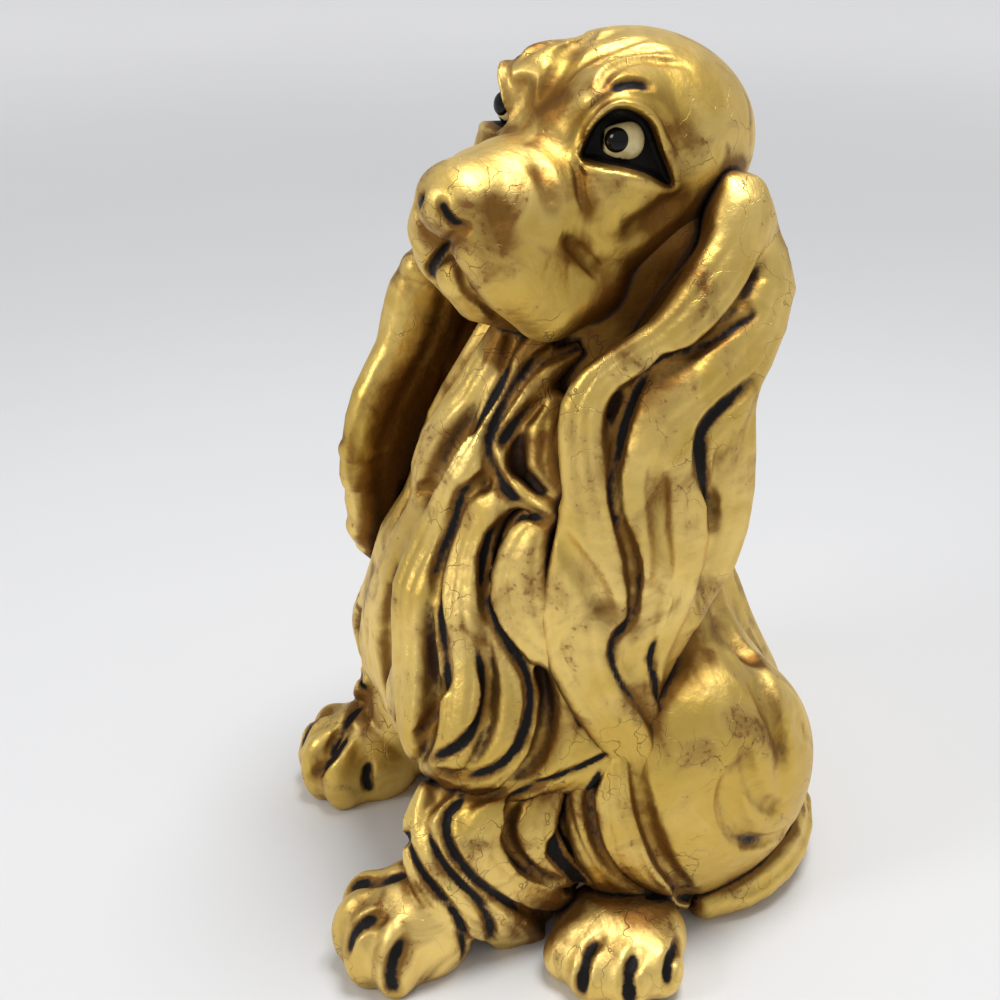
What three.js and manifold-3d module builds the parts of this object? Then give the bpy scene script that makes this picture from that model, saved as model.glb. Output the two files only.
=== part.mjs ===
// Seated long-eared spaniel, a cast and gilded ornament. Millimetres, +Z up.
// The dog faces -Y, its left side is +X, and it sits on the plane z = 0.
// Every piece is a smooth sculpted form: a signed distance, polygonised on a grid and thinned out.

import * as THREE from "three";
import { mergeVertices } from "three/addons/utils/BufferGeometryUtils.js";
import { triTable } from "three/addons/objects/MarchingCubes.js";
import Module from "manifold-3d";

const wasm = await Module();
wasm.setup();

// Driving dimensions, whole figure
const NECK_TOP = 284;
const EYES_ABOVE_NECK = 37;
const NECK_WIDTH = 88;
const SHOULDER_HEIGHT = 150;
const CHEST_WIDTH = 116;
const BODY_LENGTH = 186;
const RUMP_HEIGHT = 118;
const RUMP_WIDTH = 146;
const HAUNCH_SPREAD = 120;
const STANCE_WIDTH = 112;
const RIGHT_PAW_BACK = 12;
const WALL = 10;
const JOINT_GAP = 0.3;

// Driving dimensions, head. Yaw is towards the dog's left.
const HEAD_YAW = 26;
const HEAD_NOD = 4;
const HEAD_TILT = 6;
const SKULL_WIDTH = 80;
const SKULL_LENGTH = 102;
const SKULL_DEPTH = 65;
const MUZZLE_LENGTH = 64;
const MUZZLE_WIDTH = 40;
const FLEW_DROP = 69;
const NOSE_WIDTH = 27;
const EYE_SPACING = 49;
const EYEBALL_DIAMETER = 15.2;
const PUPIL_DIAMETER = 8.4;
const LID_WIDTH = 4.6;

// Driving dimensions, ears
const EAR_LENGTH = 222;
const EAR_WIDTH = 100;
const EAR_THICKNESS = 27;
const EAR_ROOT_OUT = 31;
const EAR_SPREAD = 81;
const EAR_CURL = 62;
const RIGHT_EAR_SPREAD = 68;
const RIGHT_EAR_LENGTH = 198;
const RIGHT_EAR_SWING = 8;

// Driving dimensions, legs and tail
const PAW_WIDTH = 48;
const PAW_LENGTH = 58;
const PAW_HEIGHT = 45;
const FORELEG_WIDTH = 36;
const HIND_FOOT_WIDTH = 58;
const HIND_FOOT_LENGTH = 58;
const HIND_FOOT_HEIGHT = 29;
const TAIL_WIDTH = 32;

// Locks of hair stand this high above a ground that is sunk by the bed under them
const LOCK_RISE = 6.5;
const LOCK_BED = 1.5;
const LOCK_BLEND = 1.6;

// Fineness of the surface, and how much faster than distance a form may grow
const GRID_STEP = 2.2;
const HEAD_GRID_STEP = 1.3;
const GRID_MARGIN = 3;
const BLOCK_CELLS = 6;
const STEEPEST = 2.4;

const GOLD = 0xc79a3a;
const CREAM_GLASS = 0xd8cfa2;
const BLACK_GLASS = 0x0c0c0d;

const radians = THREE.MathUtils.degToRad;
const clamp = THREE.MathUtils.clamp;

// Forms. A form is { d, box }: d(x, y, z) is the signed distance, negative inside,
// and box = [x0, y0, z0, x1, y1, z1] holds all of it.

function boxAround(points, reach) {
  const box = [Infinity, Infinity, Infinity, -Infinity, -Infinity, -Infinity];
  for (const point of points) {
    for (let axis = 0; axis < 3; axis += 1) {
      box[axis] = Math.min(box[axis], point[axis] - reach);
      box[axis + 3] = Math.max(box[axis + 3], point[axis] + reach);
    }
  }
  return box;
}

function boxDistance(box, x, y, z) {
  const dx = Math.max(box[0] - x, 0, x - box[3]);
  const dy = Math.max(box[1] - y, 0, y - box[4]);
  const dz = Math.max(box[2] - z, 0, z - box[5]);
  return Math.sqrt(dx * dx + dy * dy + dz * dz);
}

// turn = [about x, about y, about z] in degrees, applied in the order x, y, z
function turned(turn) {
  const euler = new THREE.Euler(radians(turn[0]), radians(turn[1]), radians(turn[2]), "ZYX");
  return new THREE.Matrix4().makeRotationFromEuler(euler).elements;
}

function ellipsoid(centre, radii, turn = [0, 0, 0]) {
  const m = turned(turn);
  const [rx, ry, rz] = radii;
  const least = Math.min(rx, ry, rz);
  const d = (x, y, z) => {
    const px = x - centre[0];
    const py = y - centre[1];
    const pz = z - centre[2];
    const u = (m[0] * px + m[1] * py + m[2] * pz) / rx;
    const v = (m[4] * px + m[5] * py + m[6] * pz) / ry;
    const w = (m[8] * px + m[9] * py + m[10] * pz) / rz;
    const near = Math.sqrt(u * u + v * v + w * w);
    const slope = Math.sqrt((u / rx) ** 2 + (v / ry) ** 2 + (w / rz) ** 2);
    return slope < 1e-6 ? -least : (near * (near - 1)) / slope;
  };
  return { d, box: boxAround([centre], Math.max(rx, ry, rz)) };
}

// A round limb through points, with a radius at each
function limb(points, radii) {
  const d = (x, y, z) => {
    let best = Infinity;
    for (let i = 0; i + 1 < points.length; i += 1) {
      const a = points[i];
      const b = points[i + 1];
      const ex = b[0] - a[0];
      const ey = b[1] - a[1];
      const ez = b[2] - a[2];
      const px = x - a[0];
      const py = y - a[1];
      const pz = z - a[2];
      const t = clamp((px * ex + py * ey + pz * ez) / (ex * ex + ey * ey + ez * ez), 0, 1);
      const radius = radii[i] + (radii[i + 1] - radii[i]) * t;
      const dist = Math.hypot(px - ex * t, py - ey * t, pz - ez * t) - radius;
      if (dist < best) best = dist;
    }
    return best;
  };
  return { d, box: boxAround(points, Math.max(...radii)) };
}

function smoothMin(a, b, k) {
  const h = Math.max(k - Math.abs(a - b), 0) / k;
  return Math.min(a, b) - (h * h * k) / 4;
}

function join(k, ...forms) {
  const d = (x, y, z) => {
    let best = Infinity;
    for (const form of forms) {
      if (boxDistance(form.box, x, y, z) > best + k) continue;
      const dist = form.d(x, y, z);
      best = best === Infinity ? dist : smoothMin(best, dist, k);
    }
    return best;
  };
  const corners = forms.flatMap(({ box }) => [box.slice(0, 3), box.slice(3)]);
  return { d, box: boxAround(corners, k / 4) };
}

const mirrored = ({ d, box }) => ({
  d: (x, y, z) => d(-x, y, z),
  box: [-box[3], box[1], box[2], -box[0], box[4], box[5]],
});

const bothSides = (form) => ({
  d: (x, y, z) => form.d(Math.abs(x), y, z),
  box: [-form.box[3], form.box[1], form.box[2], form.box[3], form.box[4], form.box[5]],
});

const moved = ({ d, box }, [a, b, c]) => ({
  d: (x, y, z) => d(x - a, y - b, z - c),
  box: [box[0] + a, box[1] + b, box[2] + c, box[3] + a, box[4] + b, box[5] + c],
});

// A form built in a frame of its own, set at an origin and turned
function placed(form, origin, turn) {
  const m = turned(turn);
  const d = (x, y, z) => {
    const px = x - origin[0];
    const py = y - origin[1];
    const pz = z - origin[2];
    return form.d(
      m[0] * px + m[1] * py + m[2] * pz,
      m[4] * px + m[5] * py + m[6] * pz,
      m[8] * px + m[9] * py + m[10] * pz,
    );
  };
  const corners = [];
  for (let i = 0; i < 8; i += 1) {
    const corner = [form.box[i & 1 ? 3 : 0], form.box[i & 2 ? 4 : 1], form.box[i & 4 ? 5 : 2]];
    corners.push(outOf(m, origin, corner));
  }
  return { d, box: boxAround(corners, 0) };
}

function outOf(m, origin, [x, y, z]) {
  return [0, 1, 2].map((row) => origin[row] + m[row] * x + m[4 + row] * y + m[8 + row] * z);
}

// Polygonising. The surface is where d changes sign between two points of a grid.

const CORNERS = [[0, 0, 0], [1, 0, 0], [1, 1, 0], [0, 1, 0], [0, 0, 1], [1, 0, 1], [1, 1, 1], [0, 1, 1]];
const EDGES = [
  [0, 1], [1, 2], [3, 2], [0, 3], [4, 5], [5, 6], [7, 6], [4, 7], [0, 4], [1, 5], [2, 6], [3, 7],
];
const EDGE_AXIS = [0, 1, 0, 1, 0, 1, 0, 1, 2, 2, 2, 2];

function polygonised(form, step = GRID_STEP) {
  const low = form.box.slice(0, 3).map((v) => v - GRID_MARGIN);
  const size = [0, 1, 2].map((axis) => {
    const span = form.box[axis + 3] + GRID_MARGIN - low[axis];
    return Math.ceil(span / step / BLOCK_CELLS) * BLOCK_CELLS + 1;
  });
  const index = (i, j, k) => (k * size[1] + j) * size[0] + i;
  const values = new Float32Array(size[0] * size[1] * size[2]).fill(NaN);
  const valueAt = (i, j, k) => {
    const at = index(i, j, k);
    if (Number.isNaN(values[at])) {
      const x = low[0] + i * step;
      const y = low[1] + j * step;
      const z = low[2] + k * step;
      values[at] = form.d(x, y, z) || 1e-6;
    }
    return values[at];
  };
  const points = [];
  const faces = [];
  const onEdge = new Map();
  const vertexOn = (edge, i, j, k, corner) => {
    const [from, to] = EDGES[edge];
    const a = CORNERS[from];
    const key = index(i + a[0], j + a[1], k + a[2]) * 3 + EDGE_AXIS[edge];
    if (!onEdge.has(key)) {
      const t = clamp(corner[from] / (corner[from] - corner[to]), 0.04, 0.96);
      const cell = [i, j, k];
      onEdge.set(key, points.length / 3);
      for (let axis = 0; axis < 3; axis += 1) {
        const along = cell[axis] + a[axis] + (axis === EDGE_AXIS[edge] ? t : 0);
        points.push(low[axis] + along * step);
      }
    }
    return onEdge.get(key);
  };
  const marchCell = (i, j, k) => {
    const corner = CORNERS.map(([a, b, c]) => valueAt(i + a, j + b, k + c));
    let code = 0;
    for (let c = 0; c < 8; c += 1) if (corner[c] < 0) code |= 1 << c;
    for (let t = code * 16; triTable[t] !== -1 && code > 0 && code < 255; t += 3) {
      const [p, q, r] = [0, 1, 2].map((n) => vertexOn(triTable[t + n], i, j, k, corner));
      faces.push(p, r, q);
    }
  };
  const half = BLOCK_CELLS / 2;
  const blockReach = half * step * Math.sqrt(3) * STEEPEST;
  for (let k = 0; k + 1 < size[2]; k += BLOCK_CELLS) {
    for (let j = 0; j + 1 < size[1]; j += BLOCK_CELLS) {
      for (let i = 0; i + 1 < size[0]; i += BLOCK_CELLS) {
        if (Math.abs(valueAt(i + half, j + half, k + half)) > blockReach) continue;
        for (let c = 0; c < BLOCK_CELLS ** 3; c += 1) {
          const column = c % BLOCK_CELLS;
          const row = Math.floor(c / BLOCK_CELLS) % BLOCK_CELLS;
          marchCell(i + column, j + row, k + Math.floor(c / BLOCK_CELLS ** 2));
        }
      }
    }
  }
  return { points, faces };
}

// Thinning out. Each collapse joins two vertices where the sum of squared distances
// to the planes that met there stays least, so flat areas lose faces and creases keep them.
// No face may turn further than the least cosine and no corner move out of its edge's reach.

class Heap {
  items = [];

  push(item) {
    const { items } = this;
    let at = items.push(item) - 1;
    while (at > 0) {
      const up = (at - 1) >> 1;
      if (items[up].cost <= item.cost) break;
      items[at] = items[up];
      at = up;
    }
    items[at] = item;
  }

  pop() {
    const { items } = this;
    const top = items[0];
    const last = items.pop();
    if (items.length === 0) return top;
    let at = 0;
    for (;;) {
      let down = 2 * at + 1;
      if (down >= items.length) break;
      if (down + 1 < items.length && items[down + 1].cost < items[down].cost) down += 1;
      if (items[down].cost >= last.cost) break;
      items[at] = items[down];
      at = down;
    }
    items[at] = last;
    return top;
  }
}

const LEAST_TURN = 0.35;
const LONGEST_MOVE = 1.5;
const SOLVABLE = 1e-3;
const EVEN_LENGTHS = 1e-4;

function thinned({ points, faces }, target) {
  const place = points.slice();
  const face = faces.slice();
  const vertexCount = place.length / 3;
  const fans = Array.from({ length: vertexCount }, () => []);
  const quadric = new Float64Array(vertexCount * 10);
  const version = new Int32Array(vertexCount);
  const dead = new Uint8Array(face.length / 3);
  const at = (v) => [place[3 * v], place[3 * v + 1], place[3 * v + 2]];
  const normalOf = (a, b, c) => {
    const u = [b[0] - a[0], b[1] - a[1], b[2] - a[2]];
    const v = [c[0] - a[0], c[1] - a[1], c[2] - a[2]];
    return [u[1] * v[2] - u[2] * v[1], u[2] * v[0] - u[0] * v[2], u[0] * v[1] - u[1] * v[0]];
  };
  for (let f = 0; f < dead.length; f += 1) {
    const corner = [face[3 * f], face[3 * f + 1], face[3 * f + 2]];
    const normal = normalOf(...corner.map(at));
    const area = Math.hypot(...normal) || 1e-9;
    const [a, b, c] = normal.map((v) => v / area);
    const first = at(corner[0]);
    const e = -(a * first[0] + b * first[1] + c * first[2]);
    const plane = [a * a, a * b, a * c, a * e, b * b, b * c, b * e, c * c, c * e, e * e];
    for (const v of corner) {
      fans[v].push(f);
      for (let q = 0; q < 10; q += 1) quadric[10 * v + q] += plane[q] * area;
    }
  }
  const costAt = (q, x, y, z) =>
    q[0] * x * x + 2 * q[1] * x * y + 2 * q[2] * x * z + 2 * q[3] * x +
    q[4] * y * y + 2 * q[5] * y * z + 2 * q[6] * y + q[7] * z * z + 2 * q[8] * z + q[9];
  const bestPlace = (q, a, b) => {
    const middle = [(a[0] + b[0]) / 2, (a[1] + b[1]) / 2, (a[2] + b[2]) / 2];
    const c0 = q[4] * q[7] - q[5] * q[5];
    const c1 = q[2] * q[5] - q[1] * q[7];
    const c2 = q[1] * q[5] - q[2] * q[4];
    const det = q[0] * c0 + q[1] * c1 + q[2] * c2;
    if (Math.abs(det) > SOLVABLE * (q[0] + q[4] + q[7]) ** 3) {
      const c3 = q[0] * q[7] - q[2] * q[2];
      const c4 = q[1] * q[2] - q[0] * q[5];
      const c5 = q[0] * q[4] - q[1] * q[1];
      const solved = [
        -(c0 * q[3] + c1 * q[6] + c2 * q[8]) / det,
        -(c1 * q[3] + c3 * q[6] + c4 * q[8]) / det,
        -(c2 * q[3] + c4 * q[6] + c5 * q[8]) / det,
      ];
      const away = Math.hypot(solved[0] - middle[0], solved[1] - middle[1], solved[2] - middle[2]);
      if (away < LONGEST_MOVE * Math.hypot(a[0] - b[0], a[1] - b[1], a[2] - b[2])) return solved;
    }
    return [a, b, middle].sort((s, t) => costAt(q, ...s) - costAt(q, ...t))[0];
  };
  const heap = new Heap();
  const offer = (a, b) => {
    const q = new Array(10);
    for (let n = 0; n < 10; n += 1) q[n] = quadric[10 * a + n] + quadric[10 * b + n];
    const from = at(a);
    const to = at(b);
    const spot = bestPlace(q, from, to);
    const length = Math.hypot(from[0] - to[0], from[1] - to[1], from[2] - to[2]);
    const cost = Math.max(costAt(q, ...spot), 0) + EVEN_LENGTHS * length ** 3;
    heap.push({ cost, a, b, spot, versionA: version[a], versionB: version[b] });
  };
  const ring = (v) => {
    const near = new Set();
    for (const f of fans[v]) for (let n = 0; n < 3; n += 1) near.add(face[3 * f + n]);
    near.delete(v);
    return near;
  };
  for (let v = 0; v < vertexCount; v += 1) for (const w of ring(v)) if (w > v) offer(v, w);
  const flips = (v, other, spot) => {
    for (const f of fans[v]) {
      const corner = [face[3 * f], face[3 * f + 1], face[3 * f + 2]];
      if (corner.includes(other)) continue;
      const before = normalOf(...corner.map(at));
      const after = normalOf(...corner.map((c) => (c === v ? spot : at(c))));
      const dot = before[0] * after[0] + before[1] * after[1] + before[2] * after[2];
      if (dot <= LEAST_TURN * Math.hypot(...before) * Math.hypot(...after)) return true;
    }
    return false;
  };
  let left = dead.length;
  while (left > target && heap.items.length > 0) {
    const { a, b, spot, versionA, versionB } = heap.pop();
    if (version[a] !== versionA || version[b] !== versionB) continue;
    const ringA = ring(a);
    const shared = [...ring(b)].filter((v) => ringA.has(v));
    if (shared.length !== 2 || flips(a, b, spot) || flips(b, a, spot)) continue;
    for (const f of fans[b]) {
      const corner = [face[3 * f], face[3 * f + 1], face[3 * f + 2]];
      if (corner.includes(a)) {
        dead[f] = 1;
        left -= 1;
        for (const v of shared) if (corner.includes(v)) fans[v] = fans[v].filter((g) => g !== f);
      } else {
        face[3 * f + corner.indexOf(b)] = a;
        fans[a].push(f);
      }
    }
    fans[a] = fans[a].filter((f) => !dead[f]);
    fans[b] = [];
    for (let axis = 0; axis < 3; axis += 1) place[3 * a + axis] = spot[axis];
    for (let n = 0; n < 10; n += 1) quadric[10 * a + n] += quadric[10 * b + n];
    version[a] += 1;
    version[b] = -1;
    for (const v of ring(a)) offer(a, v);
  }
  const kept = [];
  for (let f = 0; f < dead.length; f += 1) if (!dead[f]) kept.push(...face.slice(3 * f, 3 * f + 3));
  return compacted({ points: place, faces: kept });
}

function compacted({ points, faces }) {
  const renamed = new Map();
  const kept = [];
  const renumbered = faces.map((v) => {
    if (!renamed.has(v)) {
      renamed.set(v, kept.length / 3);
      kept.push(points[3 * v], points[3 * v + 1], points[3 * v + 2]);
    }
    return renamed.get(v);
  });
  return { points: kept, faces: renumbered };
}

// Solids, for the cuts between neighbours

function solidOf({ points, faces }) {
  const vertProperties = Float32Array.from(points);
  const triVerts = Uint32Array.from(faces);
  return new wasm.Manifold(new wasm.Mesh({ numProp: 3, vertProperties, triVerts }));
}

function meshOf(solid) {
  const { vertProperties, triVerts } = solid.getMesh();
  return { points: Array.from(vertProperties), faces: Array.from(triVerts) };
}

function meshFrom(geometry) {
  const bare = geometry.clone();
  bare.deleteAttribute("normal");
  bare.deleteAttribute("uv");
  const merged = mergeVertices(bare, 1e-4);
  return { points: Array.from(merged.attributes.position.array), faces: Array.from(merged.index.array) };
}

// The same mesh with every vertex moved out along its normal
function grown(solid, distance) {
  const { points, faces } = meshOf(solid);
  const normals = new Float64Array(points.length);
  const corner = [new THREE.Vector3(), new THREE.Vector3(), new THREE.Vector3()];
  for (let f = 0; f < faces.length; f += 3) {
    corner.forEach((v, n) => v.fromArray(points, 3 * faces[f + n]));
    const [a, b, c] = corner;
    for (let n = 0; n < 3; n += 1) {
      const from = corner[n];
      const u = corner[(n + 1) % 3].clone().sub(from);
      const v = corner[(n + 2) % 3].clone().sub(from);
      const weight = u.angleTo(v);
      const normal = b.clone().sub(a).cross(c.clone().sub(a)).normalize().multiplyScalar(weight);
      normal.toArray([]).forEach((value, axis) => { normals[3 * faces[f + n] + axis] += value; });
    }
  }
  const moved = points.slice();
  for (let v = 0; v < points.length; v += 3) {
    const length = Math.hypot(normals[v], normals[v + 1], normals[v + 2]) || 1;
    for (let axis = 0; axis < 3; axis += 1) moved[v + axis] += (normals[v + axis] / length) * distance;
  }
  return solidOf({ points: moved, faces });
}

const mainBody = (solid) => solid.decompose().sort((a, b) => b.volume() - a.volume())[0];

// A piece keeps clear of its neighbours by the joint gap
const clearOf = (solid, neighbours, gap = JOINT_GAP) =>
  mainBody(neighbours.reduce(
    (rest, neighbour) => rest.subtract(grown(neighbour, gap)).subtract(neighbour), solid));

const UP = [0, 0, 1];
const above = (solid, level) => solid.trimByPlane(UP, level);

// Locks of hair and creases, laid along routes on a ground: ground(u, v) gives { point, normal }

function smoothRoute(points, pieces) {
  const curve = new THREE.CatmullRomCurve3(points.map((p) => new THREE.Vector3(...p)));
  return Array.from({ length: pieces + 1 }, (_, i) => curve.getPoint(i / pieces).toArray());
}

function valueAlong(values, t) {
  const at = t * (values.length - 1);
  const i = Math.min(Math.floor(at), values.length - 2);
  return values[i] + (values[i + 1] - values[i]) * (at - i);
}

const PIECES_PER_POINT = 2;

// A smooth closed outline in the plane, and the signed distance to it, negative inside
function smoothLoop(points) {
  const curve = new THREE.CatmullRomCurve3(points.map(([s, t]) => new THREE.Vector3(s, t, 0)), true);
  return curve.getPoints(points.length * PIECES_PER_POINT).slice(1).map(({ x, y }) => [x, y]);
}

function loopDistance(loop, s, t) {
  let best = Infinity;
  let inside = false;
  loop.forEach(([s1, t1], i) => {
    const [s0, t0] = loop.at(i - 1);
    const ds = s1 - s0;
    const dt = t1 - t0;
    const along = clamp(((s - s0) * ds + (t - t0) * dt) / (ds * ds + dt * dt), 0, 1);
    best = Math.min(best, Math.hypot(s - s0 - ds * along, t - t0 - dt * along));
    if (t0 > t !== t1 > t && s < s0 + (ds * (t - t0)) / dt) inside = !inside;
  });
  return inside ? -best : best;
}

// A lock is a ribbon of rounded section: its half width at each point of the route is in `halves`
function lock(ground, route, halves, thick = LOCK_RISE, lift = 0) {
  const pieces = (route.length - 1) * PIECES_PER_POINT;
  const spots = route.map(([u, v]) => ground(u, v));
  const centres = smoothRoute(spots.map(({ point }) => point), pieces);
  const normals = smoothRoute(spots.map(({ normal }) => normal), pieces);
  const stations = centres.map((centre, i) => {
    const before = centres[Math.max(i - 1, 0)];
    const after = centres[Math.min(i + 1, pieces)];
    const along = new THREE.Vector3(after[0] - before[0], after[1] - before[1], after[2] - before[2]);
    const normal = new THREE.Vector3(...normals[i]);
    const across = along.clone().cross(normal).normalize();
    const up = across.clone().cross(along).normalize();
    const half = valueAlong(halves, i / pieces);
    return {
      centre: up.clone().multiplyScalar(lift).add(new THREE.Vector3(...centre)).toArray(),
      across: across.toArray(),
      up: up.toArray(),
      half,
      rise: Math.min(thick, 0.45 * half + 0.3 * thick),
    };
  });
  const d = (x, y, z) => {
    let best = Infinity;
    for (let i = 0; i < pieces; i += 1) {
      const a = stations[i];
      const b = stations[i + 1];
      const ex = b.centre[0] - a.centre[0];
      const ey = b.centre[1] - a.centre[1];
      const ez = b.centre[2] - a.centre[2];
      let px = x - a.centre[0];
      let py = y - a.centre[1];
      let pz = z - a.centre[2];
      const t = clamp((px * ex + py * ey + pz * ez) / (ex * ex + ey * ey + ez * ez), 0, 1);
      px -= ex * t;
      py -= ey * t;
      pz -= ez * t;
      const half = a.half + (b.half - a.half) * t;
      const rise = a.rise + (b.rise - a.rise) * t;
      const reach = Math.sqrt(px * px + py * py + pz * pz);
      if (reach - half > best) continue;
      const ax = a.across[0] + (b.across[0] - a.across[0]) * t;
      const ay = a.across[1] + (b.across[1] - a.across[1]) * t;
      const az = a.across[2] + (b.across[2] - a.across[2]) * t;
      const size = Math.sqrt(ax * ax + ay * ay + az * az) || 1;
      const side = (px * ax + py * ay + pz * az) / size;
      const rest2 = Math.max(reach * reach - side * side, 0);
      const u = Math.abs(side) / half;
      const v = Math.sqrt(rest2) / rise;
      const near = Math.cbrt(u * u * u + v * v * v);
      const slope = Math.hypot((u * u) / half, (v * v) / rise) / Math.max(near * near, 1e-6);
      const dist = near < 0.05 ? -rise : (near - 1) / slope;
      if (dist < best) best = dist;
    }
    return best;
  };
  return { d, box: boxAround(stations.map(({ centre }) => centre), Math.max(...halves, thick)) };
}

// A crease sinks the surface along a route, deepest on the route and fading at both ends
function crease(points, width, depth) {
  const pieces = (points.length - 1) * PIECES_PER_POINT;
  const path = smoothRoute(points, pieces);
  const box = boxAround(path, width);
  const sink = (x, y, z) => {
    if (boxDistance(box, x, y, z) > 0) return 0;
    let best = width;
    let where = 0;
    for (let i = 0; i < pieces; i += 1) {
      const a = path[i];
      const b = path[i + 1];
      const ex = b[0] - a[0];
      const ey = b[1] - a[1];
      const ez = b[2] - a[2];
      const px = x - a[0];
      const py = y - a[1];
      const pz = z - a[2];
      const t = clamp((px * ex + py * ey + pz * ez) / (ex * ex + ey * ey + ez * ez), 0, 1);
      const dist = Math.hypot(px - ex * t, py - ey * t, pz - ez * t);
      if (dist < best) {
        best = dist;
        where = (i + t) / pieces;
      }
    }
    const q = best / width;
    const fade = Math.min(1, 5 * where, 5 * (1 - where)) * 0.75 + 0.25;
    return depth * fade * (1 - q * q * (3 - 2 * q));
  };
  return sink;
}

const sunk = (form, creases) => ({
  d: (x, y, z) => creases.reduce((sum, sink) => sum + sink(x, y, z), form.d(x, y, z)),
  box: form.box,
});

const offset = (form, amount) => ({ d: (x, y, z) => form.d(x, y, z) - amount, box: form.box });

function normalAt(form, [x, y, z]) {
  const e = 0.5;
  return new THREE.Vector3(
    form.d(x + e, y, z) - form.d(x - e, y, z),
    form.d(x, y + e, z) - form.d(x, y - e, z),
    form.d(x, y, z + e) - form.d(x, y, z - e),
  ).normalize().toArray();
}

// Ground on a form: u is the angle from the front round to the dog's left in degrees,
// v the height as a share of `scale`
const AXIS_Y = 20;
const OUTSIDE = 170;
const MARCH_STEPS = 80;
const MARCH_SHARE = 0.8;
const ON_SURFACE = 0.05;

function groundOn(form, scale) {
  return (u, v) => {
    const out = [Math.sin(radians(u)), -Math.cos(radians(u))];
    const height = v * scale;
    let radius = OUTSIDE;
    for (let n = 0; n < MARCH_STEPS && radius > GRID_STEP; n += 1) {
      const gap = form.d(out[0] * radius, AXIS_Y + out[1] * radius, height);
      if (gap < ON_SURFACE) break;
      radius -= Math.max(gap * MARCH_SHARE, ON_SURFACE);
    }
    const point = [out[0] * radius, AXIS_Y + out[1] * radius, height];
    return { point, normal: normalAt(form, point) };
  };
}

const creaseOn = (ground, route, width, depth) =>
  crease(route.map(([u, v]) => ground(u, v).point), width, depth);

const flipped = (route) => route.map(([u, v]) => [-u, v]);

// Torso: rump and haunches on the floor, back and belly, shoulders and neck stub
const rumpRadius = RUMP_WIDTH / 2;
const backY = BODY_LENGTH * 0.58;
const chestFront = backY - BODY_LENGTH;
const haunchX = HAUNCH_SPREAD / 2;
const chestRadius = CHEST_WIDTH / 2;
const neckRadius = NECK_WIDTH / 2;
const NECK_STUB = 14;

const rump = ellipsoid([0, backY - 60, 48], [rumpRadius, 60, RUMP_HEIGHT - 48]);
const haunch = ellipsoid([haunchX, 36, 58], [34, 56, 64], [0, 8, 0]);
const barrel = limb(
  [[0, 32, NECK_TOP - NECK_STUB], [0, 25, 220], [0, 13, 170], [0, 28, 110]],
  [neckRadius - 5, neckRadius, chestRadius - 8, rumpRadius - 18],
);
const shoulder = ellipsoid([36, -8, SHOULDER_HEIGHT], [27, 33, 50]);
const torsoBase = join(22, rump, barrel, bothSides(haunch), bothSides(shoulder));
const haunchGround = groundOn(torsoBase, RUMP_HEIGHT);

const HAUNCH_LOCKS = [
  [[[66, 0.98], [62, 0.82], [61, 0.68], [62, 0.53], [66, 0.38], [74, 0.24], [84, 0.15], [96, 0.11]],
    [2.5, 5, 8, 9, 9, 9, 8, 4]],
  [[[76, 0.96], [73, 0.82], [72, 0.67], [75, 0.5], [80, 0.36], [87, 0.26], [94, 0.21]],
    [2.5, 5, 8, 9, 8, 6, 2]],
];
const HAUNCH_DENTS = [
  [[[77, 0.82], [79, 0.64], [83, 0.46], [89, 0.3], [98, 0.14]], 6, 4],
  [[[101, 0.72], [100, 0.62], [103, 0.5], [108, 0.41]], 8, 6],
  [[[106, 0.42], [113, 0.36], [120, 0.33], [127, 0.31]], 5, 3],
  [[[104, 0.8], [106, 0.68], [110, 0.57], [117, 0.49]], 6, 3.5],
  [[[129, 1.06], [124, 1.0], [118, 0.965], [115, 0.9]], 9, 5],
  [[[129, 0.26], [123, 0.19], [116, 0.13]], 7, 4],
];
const haunchLocks = HAUNCH_LOCKS.flatMap(([route, halves]) => [
  lock(haunchGround, route, halves),
  lock(haunchGround, flipped(route), halves),
]);
const haunchDents = HAUNCH_DENTS.flatMap(([route, width, depth]) => [
  creaseOn(haunchGround, route, width, depth),
  creaseOn(haunchGround, flipped(route), width, depth),
]);
const BACK_WAVES = [112, 128, 144, 160, 176, 192, 208, 224, 240];
const backGround = groundOn(torsoBase, NECK_TOP);
const backWaves = BACK_WAVES.map((angle, i) => {
  const sway = i % 2 === 0 ? 5 : -5;
  const top = 0.88 - 0.05 * (i % 3);
  const foot = 0.24 + 0.06 * (i % 2);
  const route = [0, 0.25, 0.5, 0.75, 1].map((t) =>
    [angle + sway * Math.cos(7 * t), top + (foot - top) * t]);
  return creaseOn(backGround, route, 8, 4.5);
});
const torsoForm = sunk(join(LOCK_BLEND, torsoBase, ...haunchLocks), [...haunchDents, ...backWaves]);

// The hollow follows the outside at the wall's thickness and is open underneath
const CAVITY_TOP = 190;
const CAVITY_ROOF_BLEND = 20;
const RIM_HEIGHT = 5;
const cavityForm = {
  d: (x, y, z) => {
    const wall = torsoBase.d(x, y, Math.max(z, RIM_HEIGHT)) + WALL;
    return Math.max(-smoothMin(-wall, CAVITY_TOP - z, CAVITY_ROOF_BLEND), -WALL - z);
  },
  box: torsoBase.box,
};

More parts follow.
